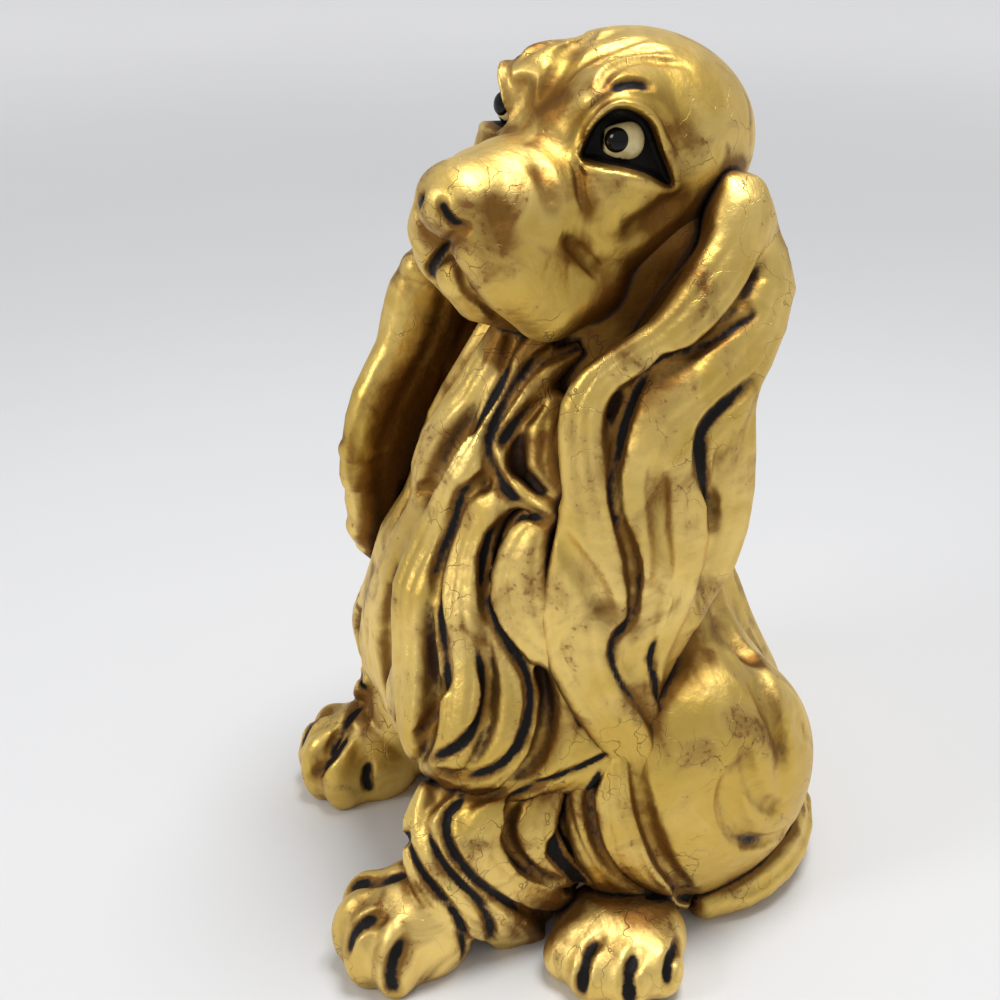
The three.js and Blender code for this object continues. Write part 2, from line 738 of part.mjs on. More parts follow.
// Head, in its own frame: origin between the eyes, nose towards -y, level
const headTurn = [HEAD_NOD, HEAD_TILT, HEAD_YAW];
const headOrigin = [13.4, -4, NECK_TOP + EYES_ABOVE_NECK];
const eyeX = EYE_SPACING / 2;
const eyeBall = EYEBALL_DIAMETER / 2;
const skullRadii = [SKULL_WIDTH / 2, SKULL_LENGTH / 2, SKULL_DEPTH / 2];
const skull = ellipsoid([0, SKULL_LENGTH * 0.34, -9], skullRadii, [-9, 0, 0]);
const brow = ellipsoid([EYE_SPACING * 0.36, 5, 12], [13, 15, 10], [0, 12, 0]);
const bridge = ellipsoid([0, -MUZZLE_LENGTH * 0.4, -16], [MUZZLE_WIDTH / 2, MUZZLE_LENGTH * 0.6, 16]);
const nosePad = ellipsoid([0, 11 - MUZZLE_LENGTH, -13], [NOSE_WIDTH / 2, 11, 10]);
const flew = limb(
  [[12, 14 - MUZZLE_LENGTH, -28], [16, 23 - MUZZLE_LENGTH, 27 - FLEW_DROP], [19, -27, 16 - FLEW_DROP],
    [20, -8, 19 - FLEW_DROP]], [11, 11.5, 14, 15],
);
const lip = ellipsoid([13, -26, -30], [14, 28, 22]);
const cheek = ellipsoid([24, 8, -24], [15, 26, 24]);
const jaw = limb(
  [[0, 14 - MUZZLE_LENGTH, -42], [0, 23 - MUZZLE_LENGTH, -52], [0, -20, -61], [0, 12, -50]], [9, 10, 12, 16]);
const eyeBag = ellipsoid([eyeX, -2, -13], [11, 9, 8]);
const nape = limb([[0, 38, -22], [0, 39, -48]], [neckRadius - 8, neckRadius - 6]);
const face = join(
  9, join(24, skull, nape), bridge, nosePad, bothSides(brow), bothSides(flew), bothSides(lip),
  bothSides(cheek), bothSides(eyeBag),
);
const headBase = join(2, face, jaw);

// The eye lies in a sunken almond: upright at the inner corner, drawn out at the outer one.
// Its outline stands square to the way the eye faces, [outwards, up] from the middle of the eye.
const EYE_FACING = new THREE.Vector3(0.7, -0.68, 0.2).normalize();
const EYE_OUTWARD = new THREE.Vector3(0.68, 0.7, 0).normalize();
const EYE_UPWARD = EYE_FACING.clone().cross(EYE_OUTWARD);
const SOCKET_DEPTH = 4.6;
const SOCKET_EDGE = 3.6;
const LID_RISE = 1.4;
const almond = smoothLoop([
  [-12.5, -5.4], [-10.8, 1], [-7.5, 7.5], [-2.5, 11.4], [3.5, 10.6], [9.5, 6.2], [13.6, -2.5], [18.6, -14.6],
  [8, -9.6], [-1, -7.2],
]);
const lidAndSocket = (x, y, z) => {
  const spot = new THREE.Vector3(Math.abs(x) - eyeX, y, z);
  const across = spot.dot(EYE_OUTWARD);
  const up = spot.dot(EYE_UPWARD);
  const out = loopDistance(almond, across, up);
  if (out > LID_WIDTH || spot.dot(EYE_FACING) < -eyeBall) return 0;
  const sink = SOCKET_DEPTH * clamp(0.5 - out / SOCKET_EDGE, 0, 1);
  const q = clamp(Math.abs(out - LID_WIDTH / 2) / (LID_WIDTH / 2), 0, 1);
  const rim = LID_RISE * clamp(0.7 + 0.06 * up, 0.4, 1);
  return sink - rim * (1 - q * q * (3 - 2 * q));
};

const faceCrease = (points, width, depth) => {
  const sink = crease(points, width, depth);
  return (x, y, z) => sink(Math.abs(x), y, z);
};
const fromNose = (points) => points.map(([x, y, z]) => [x, y - MUZZLE_LENGTH, z]);
const faceCreases = [
  lidAndSocket,
  faceCrease([[16, -14, -5], [16, -12, 4], [21, -10, 13], [27, -3, 17], [32, 5, 14], [36, 12, 4],
    [41, 16, -10]], 3.2, 2.4),
  faceCrease([[25, -7, 18], [27, 0, 20.5], [30, 8, 17.5]], 4.2, 7),
  faceCrease([[0, -12, 3], [0, -3, 12], [0, 8, 22], [0, 20, 27]], 8, 3.5),
  faceCrease([[6, -14, 2], [3, -6, 11], [3, 5, 20], [5, 14, 25]], 3.4, 2.2),
  faceCrease([[10, -6, 18], [10, 6, 24], [12, 19, 26], [18, 29, 23]], 4, 2.2),
  faceCrease([[20, -8, 18], [18, 2, 23], [17, 13, 25], [20, 24, 23]], 4, 2),
  faceCrease(fromNose([[5, -2, -10], [6, -2, -14], [9, 0, -17.5], [13.5, 4, -17]]), 2.8, 7),
  faceCrease(fromNose([[15, 6, -17], [10, 1, -21], [4, 2, -25], [0, 4, -29]]), 3, 2.6),
  faceCrease(fromNose([[0, 2, -26], [4, 5, -34], [8, 10, -43], [11, 16, -52], [13, 26, -60],
    [15, 37, -66]]), 3.2, 4.5),
  faceCrease(fromNose([[17, 14, -11], [20, 11, -18], [20, 10, -27], [19, 11, -36]]), 8, 2.4),
  faceCrease([[26, -31, -25], [28, -24, -31], [30, -18, -36], [32, -11, -44]], 4, 3.4),
  faceCrease([[36, -11, -25], [40, -3, -21], [42, 11, -19]], 8, 2.2),
  faceCrease([[20, -15, -6], [22, -17, -10], [24, -18, -15]], 3, 2.6),
];
const headForm = placed(sunk(headBase, faceCreases), headOrigin, headTurn);
const headMatrix = turned(headTurn);
const inHead = (point) => outOf(headMatrix, headOrigin, point);

// Ears: locks laid on a curved sheet that hangs from the side of the skull.
// u runs back from the root in ear widths, v down in ear lengths.
const EAR_MIDDLE = -0.28;
const EAR_FLARE = 0.28;

function earSheet(side, root, spread, length, swing) {
  const at = (u, v) => {
    const across = (u - EAR_MIDDLE) * EAR_WIDTH;
    const out = EAR_ROOT_OUT + (spread - EAR_ROOT_OUT) * (1 - Math.exp(-v / EAR_FLARE));
    const curl = (across * across) / (2 * EAR_CURL) * Math.min(1, 4 * v);
    const forward = v * length * Math.tan(radians(swing));
    return [side * (out - curl), root[1] + u * EAR_WIDTH - forward, root[2] - v * length];
  };
  return (u, v) => {
    const point = at(u, v);
    const e = 0.01;
    const back = new THREE.Vector3(...at(u + e, v)).sub(new THREE.Vector3(...point));
    const down = new THREE.Vector3(...at(u, v + e)).sub(new THREE.Vector3(...point));
    const normal = back.cross(down).normalize();
    return { point, normal: normal.multiplyScalar(Math.sign(normal.x * side)).toArray() };
  };
}

// [route, half widths, thickness, lift off the sheet]
const LEFT_SHEET = [
  [[0.02, 0.05], [-0.1, 0.19], [-0.24, 0.32], [-0.32, 0.45], [-0.38, 0.57], [-0.47, 0.7], [-0.49, 0.83],
    [-0.46, 0.94]], [9, 20, 28, 32, 30, 23, 13, 5], EAR_THICKNESS / 2, -14];
const RIGHT_SHEET = [
  [[0.02, 0.05], [-0.12, 0.15], [-0.26, 0.24], [-0.38, 0.31], [-0.4, 0.38], [-0.44, 0.47], [-0.5, 0.57],
    [-0.54, 0.66], [-0.52, 0.75], [-0.54, 0.84], [-0.49, 0.92], [-0.44, 0.98]],
  [9, 18, 22, 27, 26, 27, 31, 31, 28, 22, 14, 6], EAR_THICKNESS / 3, -6];
const EAR_ROOT = ellipsoid([0, 0, 0], [10, 12, 12]);
const EAR_ROOT_BLEND = 8;
const EAR_LOCKS = [
  [[[0.01, 0.02], [-0.03, 0.07], [-0.08, 0.105], [-0.16, 0.14], [-0.25, 0.175], [-0.38, 0.215],
    [-0.51, 0.245], [-0.6, 0.277], [-0.65, 0.32], [-0.66, 0.38], [-0.65, 0.45], [-0.63, 0.52], [-0.61, 0.59],
    [-0.57, 0.66], [-0.55, 0.72]], [9, 9.5, 10.5, 10.5, 9.5, 7.5, 6.5, 7, 8, 8.5, 9, 9.5, 9, 6.5, 2.5], 8, 1],
  [[[0.1, 0.07], [0.13, 0.17], [-0.01, 0.25], [-0.19, 0.31], [-0.34, 0.36], [-0.39, 0.44], [-0.38, 0.53],
    [-0.39, 0.62], [-0.43, 0.7], [-0.46, 0.77], [-0.45, 0.84], [-0.41, 0.91]],
    [5, 12, 14, 15, 16, 17, 15, 12, 9, 7.5, 5.5, 2], 7, -2],
  [[[-0.03, 0.33], [-0.08, 0.4], [-0.1, 0.47], [-0.12, 0.54], [-0.17, 0.6], [-0.26, 0.66]],
    [5, 9, 9.5, 9, 7, 3], 7, -4],
  [[[-0.7, 0.49], [-0.7, 0.58], [-0.7, 0.66], [-0.67, 0.745], [-0.6, 0.83], [-0.51, 0.92], [-0.45, 1.03]],
    [4, 9, 13, 14, 13, 10, 3], 8, 2],
];
const EAR_GROOVES = [
  [[[-0.33, 0.36], [-0.4, 0.43], [-0.41, 0.51], [-0.37, 0.6], [-0.37, 0.67]], 6, 3],
  [[[-0.5, 0.24], [-0.66, 0.33], [-0.73, 0.45]], 4, 1],
];
const RIGHT_LOCKS_BACK = 0.1;

function ear(side, sheetLock, spread, length, swing, back) {
  const root = inHead([side * 37, 45, -19]);
  const sheet = earSheet(side, root, spread, length, swing);
  const shifted = (route) => route.map(([u, v]) => [u + back, v]);
  const locks = EAR_LOCKS.map(([route, halves, thick, lift]) =>
    lock(sheet, shifted(route), halves, thick, lift));
  const [route, halves, thick, lift] = sheetLock;
  const top = moved(EAR_ROOT, sheet(0, 0.06).point);
  const body = join(EAR_ROOT_BLEND, join(LOCK_BLEND, lock(sheet, route, halves, thick, lift), ...locks), top);
  return sunk(body, EAR_GROOVES.map(([line, width, depth]) =>
    creaseOn(sheet, shifted(line), width, depth)));
}

const earLeftForm = ear(1, LEFT_SHEET, EAR_SPREAD, EAR_LENGTH, 0, 0);
const earRightForm = ear(
  -1, RIGHT_SHEET, RIGHT_EAR_SPREAD, RIGHT_EAR_LENGTH, RIGHT_EAR_SWING, RIGHT_LOCKS_BACK);

// Chest ruff: the mass of hair on throat and chest
const ruffBase = join(
  18,
  ellipsoid([0, chestFront + 50, 122], [chestRadius - 3, 50, 58]),
  ellipsoid([0, chestFront + 54, 96], [chestRadius + 9, 50, 41]),
  bothSides(ellipsoid([36, chestFront + 35, 92], [28, 29, 27])),
  limb([[4, -12, 246], [0, -26, 190]], [20, 38]),
);
const ruffGround = groundOn(join(14, ruffBase, torsoBase), NECK_TOP);
const RUFF_LOCKS = [
  [[[33, 0.87], [27, 0.83], [23, 0.79], [22, 0.74], [19, 0.685], [15, 0.63], [12, 0.575], [12, 0.52],
    [15, 0.46], [19, 0.4], [22, 0.35], [22, 0.315], [18, 0.285]],
    [4, 5, 5, 6, 7, 9, 10.5, 11, 10.5, 9.5, 8, 6, 3]],
  [[[37, 0.68], [30, 0.655], [26, 0.61], [26, 0.56], [28, 0.51], [31, 0.46], [34, 0.41], [35, 0.36],
    [32, 0.315], [26, 0.285]], [4, 7, 9, 9.5, 10.5, 10, 9, 8, 6.5, 3]],
  [[[36, 0.54], [42, 0.48], [46, 0.42], [46, 0.36], [42, 0.315], [35, 0.28], [28, 0.265]],
    [3, 6, 8, 8, 7, 6, 3]],
  [[[49, 0.665], [45, 0.63], [44, 0.58], [47, 0.53], [53, 0.49], [57, 0.46]], [5, 9, 12, 13, 10, 4]],
  [[[72, 0.55], [72, 0.47], [70, 0.39], [67, 0.33], [60, 0.285], [52, 0.26]], [5, 9, 10, 10, 8, 3]],
  [[[54, 0.47], [60, 0.42], [62, 0.37], [60, 0.325], [53, 0.29], [44, 0.267], [34, 0.245]],
    [4, 9, 11, 11, 9, 7, 3]],
  [[[50, 0.855], [39, 0.83], [33, 0.795], [29, 0.755], [28, 0.725], [32, 0.695], [40, 0.68], [50, 0.665]],
    [3, 5, 4, 4, 4, 3.6, 3.2, 2]],
  [[[44, 0.79], [43, 0.755], [45, 0.72], [53, 0.69]], [4, 8, 8, 4]],
];
const FRONT_LOCKS = [
  [[[13, 0.87], [12, 0.83], [9, 0.79], [5, 0.75], [2, 0.72]], [5, 7, 7.5, 7, 4]],
  [[[7, 0.76], [3, 0.71], [-2, 0.66], [-5, 0.6]], [5, 8, 8, 4]],
  [[[-12, 0.885], [-14, 0.8], [-19, 0.72], [-25, 0.65], [-27, 0.58]], [6, 9, 10, 9, 4]],
  [[[-36, 0.885], [-38, 0.8], [-42, 0.72], [-48, 0.65]], [6, 9, 9, 5]],
  [[[3, 0.62], [-3, 0.54], [-6, 0.46], [-5, 0.38], [0, 0.31], [6, 0.27]], [6, 10, 11, 11, 9, 3]],
  [[[-13, 0.46], [-14, 0.39], [-12, 0.32], [-6, 0.265]], [4, 9, 9, 4]],
  [[[13, 0.42], [12, 0.36], [9, 0.305], [3, 0.26]], [4, 8, 8, 4]],
];
const ruffLocks = RUFF_LOCKS.map(([route, halves]) => lock(ruffGround, route, halves));
const RIGHT_TURN = 5;
const ruffRight = RUFF_LOCKS.slice(0, 5).map(([route, halves]) =>
  lock(ruffGround, route.map(([u, v]) => [-u - RIGHT_TURN, v + 0.012]), halves));
const ruffFront = FRONT_LOCKS.map(([route, halves]) => lock(ruffGround, route, halves));
const ruffForm = join(LOCK_BLEND, offset(ruffBase, -LOCK_BED), ...ruffLocks, ...ruffRight, ...ruffFront);

// Foreleg, left: paw with four toes, leg and the feathering behind it
const TOE_ANGLES = [-62, -20, 20, 62];

function paw(width, length, height) {
  const toeHalf = width * 0.19;
  const pad = ellipsoid([0, length * 0.1, height * 0.38], [width / 2 - 2, length / 2 - 5, height * 0.6]);
  const toes = TOE_ANGLES.map((angle) => {
    const out = [Math.sin(radians(angle)) * (width / 2 - toeHalf), -Math.cos(radians(angle)) * length * 0.26];
    const place = [out[0], out[1] - 1, height * 0.36];
    return ellipsoid(place, [toeHalf, length * 0.24, height * 0.45], [0, 0, angle * 0.6]);
  });
  return join(2.4, pad, ...toes);
}

const pawX = STANCE_WIDTH / 2;
const pawY = chestFront - 5;
const foreLegBase = join(
  12,
  limb([[pawX, pawY + 11, 24], [pawX - 5, pawY + 23, 58], [pawX - 17, pawY + 40, 96]],
    [FORELEG_WIDTH / 2, FORELEG_WIDTH / 2 + 1, FORELEG_WIDTH / 2 - 3]),
  ellipsoid([pawX - 4, pawY + 46, 38], [21, 37, 48]),
);
const foreLegGround = groundOn(join(20, foreLegBase, torsoBase), SHOULDER_HEIGHT);
const FEATHER_LOCKS = [
  [[[28, 0.5], [29, 0.43], [32, 0.35], [36, 0.27], [41, 0.18], [44, 0.08], [45, 0]],
    [3, 6, 7, 6.5, 6, 6, 5]],
  [[[37, 0.52], [36, 0.46], [37, 0.39], [40, 0.31], [45, 0.2], [49, 0.1], [51, 0.01]],
    [3, 7, 8, 7, 6.5, 6, 5]],
  [[[46, 0.54], [43, 0.48], [42, 0.41], [45, 0.33], [50, 0.25], [57, 0.16], [63, 0.11]],
    [3, 7, 9.5, 9, 8, 6, 3]],
  [[[59, 0.56], [54, 0.49], [52, 0.42], [54, 0.35], [59, 0.27], [66, 0.21]], [3, 7, 9.5, 9, 7, 3]],
];
const featherLocks = FEATHER_LOCKS.map(([route, halves]) => lock(foreLegGround, route, halves));
const foreLegForm = join(
  LOCK_BLEND, offset(foreLegBase, -LOCK_BED), ...featherLocks,
  placed(paw(PAW_WIDTH, PAW_LENGTH, PAW_HEIGHT), [pawX + 2, pawY - 2, 0], [0, 0, 6]),
);

// Hind foot, left, turned out from under the haunch, and the tail round the left hip
const hindFootForm = placed(
  paw(HIND_FOOT_WIDTH, HIND_FOOT_LENGTH, HIND_FOOT_HEIGHT), [haunchX + 30, -6, 0], [0, 0, 56],
);
const TAIL_PIECES = 10;
const tailRoute = smoothRoute([
  [-6, backY - 14, 18], [36, backY - 12, 17], [62, backY - 26, 15], [76, backY - 48, 12], [78, backY - 68, 8],
], TAIL_PIECES);
const tailRadii = tailRoute.map((_, i) => TAIL_WIDTH / 2 * (1 - 0.5 * (i / TAIL_PIECES) ** 2));
const tailBase = limb(tailRoute, tailRadii);
const tailForm = sunk(tailBase, [
  crease(tailRoute.map(([x, y, z]) => [x * 1.12, y + 12, z + 6]), 4, 3),
  crease(tailRoute.map(([x, y, z]) => [x * 1.02, y + 3, z + 16]), 4, 3),
]);

// Eyes: glass balls with a domed pupil let into each
const EYE_CENTRE = [eyeX - 1, 2.5, -0.5];
const GAZE = { left: [0.42, -0.86, 0.3], right: [-0.2, -0.94, 0.28] };
const EYE_SEGMENTS = 14;
const EYE_RINGS = 8;
const PUPIL_SINK = 1.6;
const PUPIL_RIM = 0.2;
const PUPIL_DOME = 2.1;
const DOME_RINGS = 4;

const group = new THREE.Group();

function addPiece(name, solid, color, roughness, metalness) {
  const { points, faces } = meshOf(solid);
  const geometry = new THREE.BufferGeometry();
  geometry.setAttribute("position", new THREE.Float32BufferAttribute(points, 3));
  geometry.setIndex(faces);
  geometry.computeVertexNormals();
  const piece = new THREE.Mesh(geometry, new THREE.MeshStandardMaterial({ color, roughness, metalness }));
  piece.name = name;
  group.add(piece);
  return solid;
}

const addGilded = (name, solid) => addPiece(name, solid, GOLD, 0.35, 0.9);

// Polygonised, cut clear of its neighbours, thinned out and cut once more for what thinning moved
const THINNING_ROOM = 0.5;
const FLOOR_ROOM = 1;

function sculpted(form, faces, neighbours, step = GRID_STEP) {
  const fine = above(solidOf(polygonised(form, step)), -FLOOR_ROOM);
  const fitted = clearOf(fine, neighbours, JOINT_GAP + THINNING_ROOM);
  return clearOf(above(solidOf(thinned(meshOf(fitted), faces)), 0), neighbours);
}

const eyeballs = [1, -1].map((side) => {
  const centre = inHead([side * EYE_CENTRE[0], EYE_CENTRE[1], EYE_CENTRE[2]]);
  const ball = new THREE.SphereGeometry(eyeBall, EYE_SEGMENTS, EYE_RINGS);
  return solidOf(meshFrom(ball.translate(...centre)));
});
const pupils = [GAZE.left, GAZE.right].map((gaze, i) => {
  const side = i === 0 ? 1 : -1;
  const radius = PUPIL_DIAMETER / 2;
  const seat = Math.sqrt(eyeBall ** 2 - radius ** 2) - PUPIL_SINK;
  const rim = seat + PUPIL_SINK + PUPIL_RIM;
  const profile = [[0, seat], [radius, seat], [radius, rim]];
  for (let n = 1; n <= DOME_RINGS; n += 1) {
    const angle = (n / DOME_RINGS) * (Math.PI / 2);
    profile.push([radius * Math.cos(angle), rim + PUPIL_DOME * Math.sin(angle)]);
  }
  const points = profile.map(([r, h]) => new THREE.Vector2(Math.max(r, 0), h));
  const dome = new THREE.LatheGeometry(points, EYE_SEGMENTS);
  const aim = new THREE.Quaternion().setFromUnitVectors(
    new THREE.Vector3(0, 1, 0), new THREE.Vector3(...gaze).normalize());
  dome.applyQuaternion(aim).translate(side * EYE_CENTRE[0], EYE_CENTRE[1], EYE_CENTRE[2]);
  dome.applyMatrix4(new THREE.Matrix4().fromArray(headMatrix).setPosition(...headOrigin));
  return solidOf(meshFrom(dome));
});

const seatedBalls = eyeballs.map((ball, i) => clearOf(ball, [pupils[i]]));

// Faces left on each sculpted piece
const FACES = {
  torso: 2120, cavity: 280, head: 3240, ear: 1470, ruff: 2200, foreleg: 690, hindFoot: 310, tail: 240,
};

const cavity = solidOf(thinned(polygonised(cavityForm), FACES.cavity));
const torso = mainBody(sculpted(torsoForm, FACES.torso, []).subtract(cavity));
const head = sculpted(headForm, FACES.head, [torso, ...eyeballs, ...pupils], HEAD_GRID_STEP);
const ruff = sculpted(ruffForm, FACES.ruff, [torso, head]);
const foreLegs = [foreLegForm, moved(mirrored(foreLegForm), [0, RIGHT_PAW_BACK, 0])].map((form) =>
  sculpted(form, FACES.foreleg, [torso, ruff]));
const ears = [earLeftForm, earRightForm].map((form, i) =>
  sculpted(form, FACES.ear, [torso, head, ruff, foreLegs[i]]));
const hindFeet = [hindFootForm, mirrored(hindFootForm)].map((form, i) =>
  sculpted(form, FACES.hindFoot, [torso, foreLegs[i]]));
const tail = sculpted(tailForm, FACES.tail, [torso, hindFeet[0]]);

addGilded("torso", torso);
addGilded("head", head);
addGilded("ear_left", ears[0]);
addGilded("ear_right", ears[1]);
addGilded("chest_ruff", ruff);
addGilded("foreleg_left", foreLegs[0]);
addGilded("foreleg_right", foreLegs[1]);
addGilded("hind_foot_left", hindFeet[0]);
addGilded("hind_foot_right", hindFeet[1]);
addGilded("tail", tail);
addPiece("eye_left", seatedBalls[0], CREAM_GLASS, 0.15, 0);
addPiece("eye_right", seatedBalls[1], CREAM_GLASS, 0.15, 0);
addPiece("pupil_left", pupils[0], BLACK_GLASS, 0.08, 0);
addPiece("pupil_right", pupils[1], BLACK_GLASS, 0.08, 0);

// The origin is the middle of the footprint, on the floor
const extent = new THREE.Box3().setFromObject(group);
const middle = extent.getCenter(new THREE.Vector3());
for (const piece of group.children) piece.geometry.translate(-middle.x, -middle.y, -extent.min.z);

export default group;
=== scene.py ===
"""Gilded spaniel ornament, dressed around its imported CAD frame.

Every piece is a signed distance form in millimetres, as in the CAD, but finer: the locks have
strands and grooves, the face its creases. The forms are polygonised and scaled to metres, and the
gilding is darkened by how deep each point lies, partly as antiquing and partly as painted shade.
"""

import math
from collections import namedtuple

import bpy
import numpy as np
import openvdb
from mathutils import Matrix, Vector


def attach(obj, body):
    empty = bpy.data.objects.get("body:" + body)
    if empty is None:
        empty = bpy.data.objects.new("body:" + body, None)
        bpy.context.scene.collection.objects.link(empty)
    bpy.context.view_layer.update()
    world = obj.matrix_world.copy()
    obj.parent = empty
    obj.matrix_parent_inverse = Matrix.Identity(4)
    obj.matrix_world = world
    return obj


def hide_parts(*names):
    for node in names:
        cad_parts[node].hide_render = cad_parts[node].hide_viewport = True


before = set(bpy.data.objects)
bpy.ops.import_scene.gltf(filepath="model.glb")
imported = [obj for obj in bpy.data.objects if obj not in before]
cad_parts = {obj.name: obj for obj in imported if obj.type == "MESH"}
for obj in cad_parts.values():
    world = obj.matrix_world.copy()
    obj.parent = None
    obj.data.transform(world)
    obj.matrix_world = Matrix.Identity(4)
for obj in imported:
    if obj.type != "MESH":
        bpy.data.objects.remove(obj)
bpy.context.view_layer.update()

MM = 0.001

# The forms stand where the CAD's do before its footprint is centred
FOOTPRINT_SHIFT = (-0.2, 1.47, 0.0)

# Driving dimensions, whole figure
NECK_TOP = 284
EYES_ABOVE_NECK = 37
NECK_WIDTH = 88
SHOULDER_HEIGHT = 150
CHEST_WIDTH = 116
BODY_LENGTH = 186
RUMP_HEIGHT = 118
RUMP_WIDTH = 146
HAUNCH_SPREAD = 120
STANCE_WIDTH = 112
RIGHT_PAW_BACK = 12
WALL = 10

# Driving dimensions, head. Yaw is towards the dog's left.
HEAD_TURN = (4, 6, 26)
HEAD_ORIGIN = (13.4, -4, NECK_TOP + EYES_ABOVE_NECK)
SKULL_WIDTH = 80
SKULL_LENGTH = 102
SKULL_DEPTH = 65
MUZZLE_LENGTH = 64
MUZZLE_WIDTH = 40
FLEW_DROP = 69
NOSE_WIDTH = 27
EYE_SPACING = 49
EYEBALL_DIAMETER = 15.2
PUPIL_DIAMETER = 8.4
LID_WIDTH = 4.6

# Driving dimensions, ears
EAR_LENGTH = 222
EAR_WIDTH = 100
EAR_THICKNESS = 27
EAR_ROOT_OUT = 31
EAR_SPREAD = 81
EAR_CURL = 62
RIGHT_EAR_SPREAD = 68
RIGHT_EAR_LENGTH = 198
RIGHT_EAR_SWING = 8

# Driving dimensions, legs and tail
PAW_WIDTH = 48
PAW_LENGTH = 58
PAW_HEIGHT = 45
FORELEG_WIDTH = 36
HIND_FOOT_WIDTH = 58
HIND_FOOT_LENGTH = 58
HIND_FOOT_HEIGHT = 29
TAIL_WIDTH = 32

# Locks of hair
LOCK_RISE = 6.5
LOCK_BLEND = 1.2
SOFT_BLEND = 5
LOCK_BED = 2.5
STRAND_DEPTH = 0.8
STRAND_WIDTH = 0.2

# Fineness of the surface
BODY_STEP = 1.25
HEAD_STEP = 0.9
BLOCK = 4
STEEPEST = 2.8
MARGIN = 3
CHUNK = 60000


# Forms. d(p) is the signed distance at the points p, negative inside, and box holds all of the form.

Form = namedtuple("Form", "d box")


def box_around(points, reach):
    points = np.asarray(points, dtype=float)
    return np.concatenate([points.min(axis=0) - reach, points.max(axis=0) + reach])


def box_distance(box, p):
    gap = np.maximum(np.maximum(box[:3] - p, p - box[3:]), 0)
    return np.sqrt((gap * gap).sum(axis=1))


def turned(turn):
    """Rotation matrix for degrees about x, then y, then z."""
    matrix = Matrix.Identity(3)
    for angle, axis in zip(turn, "XYZ"):
        matrix = Matrix.Rotation(math.radians(angle), 3, axis) @ matrix
    return np.array(matrix)


def ellipsoid(centre, radii, turn=(0, 0, 0)):
    matrix = turned(turn)
    radii = np.array(radii, dtype=float)

    def d(p):
        q = ((p - centre) @ matrix) / radii
        near = np.sqrt((q * q).sum(axis=1))
        slope = np.sqrt(((q / radii) ** 2).sum(axis=1))
        return np.where(slope < 1e-6, -radii.min(), near * (near - 1) / np.maximum(slope, 1e-6))

    return Form(d, box_around([centre], radii.max()))


def nearest_on(a, b, p):
    """How far along a-b the nearest point lies, from 0 to 1, and the way from it to p."""
    edge = b - a
    rel = p - a
    t = np.clip(rel @ edge / (edge @ edge), 0, 1)
    return t, rel - t[:, None] * edge


def limb(points, radii):
    points = np.array(points, dtype=float)

    def d(p):
        best = np.full(len(p), np.inf)
        for a, b, ra, rb in zip(points, points[1:], radii, radii[1:]):
            t, away = nearest_on(a, b, p)
            best = np.minimum(best, np.sqrt((away * away).sum(axis=1)) - ra - (rb - ra) * t)
        return best

    return Form(d, box_around(points, max(radii)))


def smooth_min(a, b, k):
    h = np.maximum(k - np.abs(a - b), 0) / k
    return np.minimum(a, b) - h * h * k / 4


def join(k, *forms):
    def d(p):
        best = forms[0].d(p)
        for form in forms[1:]:
            near = box_distance(form.box, p) <= best + k
            if near.any():
                best[near] = smooth_min(best[near], form.d(p[near]), k)
        return best

    corners = np.concatenate([form.box.reshape(2, 3) for form in forms])
    return Form(d, box_around(corners, k / 4))


def faded(q):
    """1 at q = 0, 0 at q = 1, smooth between."""
    return 1 - q * q * (3 - 2 * q)


def same(p):
    return p


def mirror(p):
    return p * (-1, 1, 1)


def side_of(p):
    """The points on the right seen as their mirror images on the left."""
    return p * (0, 1, 1) + np.abs(p) * (1, 0, 0)


def mirrored(form):
    low, high = form.box[:3], form.box[3:]
    box = np.array([-high[0], low[1], low[2], -low[0], high[1], high[2]])
    return Form(lambda p: form.d(mirror(p)), box)


def both_sides(form):
    box = form.box.copy()
    box[0] = -box[3]
    return Form(lambda p: form.d(side_of(p)), box)


def placed(form, origin, turn=(0, 0, 0)):
    matrix = turned(turn)
    corners = [[form.box[3 * (i >> axis & 1) + axis] for axis in range(3)] for i in range(8)]
    return Form(lambda p: form.d((p - origin) @ matrix), box_around(corners @ matrix.T + origin, 0))


def bedded(form):
    return Form(lambda p: form.d(p) + LOCK_BED, form.box)


# Routes on a ground: ground(u, v) gives a point and the surface's normal there


def smooth_route(points, pieces):
    """A centripetal curve through the points in equal steps of its parameter, as in the CAD."""
    points = np.array(points, dtype=float)
    first = 2 * points[0] - points[1]
    last = 2 * points[-1] - points[-2]
    padded = np.vstack([first, points, last])
    result = []
    for at in np.linspace(0, len(points) - 1, pieces + 1):
        i = min(int(at), len(points) - 2)
        w = at - i
        p0, p1, p2, p3 = padded[i : i + 4]
        pairs = ((p0, p1), (p1, p2), (p2, p3))
        d0, d1, d2 = (max(np.linalg.norm(q - p) ** 0.5, 1e-4) for p, q in pairs)
        m1 = ((p1 - p0) / d0 - (p2 - p0) / (d0 + d1) + (p2 - p1) / d1) * d1
        m2 = ((p2 - p1) / d1 - (p3 - p1) / (d1 + d2) + (p3 - p2) / d2) * d1
        c2 = 3 * (p2 - p1) - 2 * m1 - m2
        c3 = 2 * (p1 - p2) + m1 + m2
        result.append(p1 + w * (m1 + w * (c2 + w * c3)))
    return np.array(result)


def unit(v):
    return v / max(np.linalg.norm(v), 1e-9)


PIECES_PER_POINT = 2
# Strands: where they lie across a lock, and how far and how often they sway
STRANDS = (-0.42, 0.3)
SWAY = 0.12
SWAYS = 9
FULL_STRAND_HALF = 6


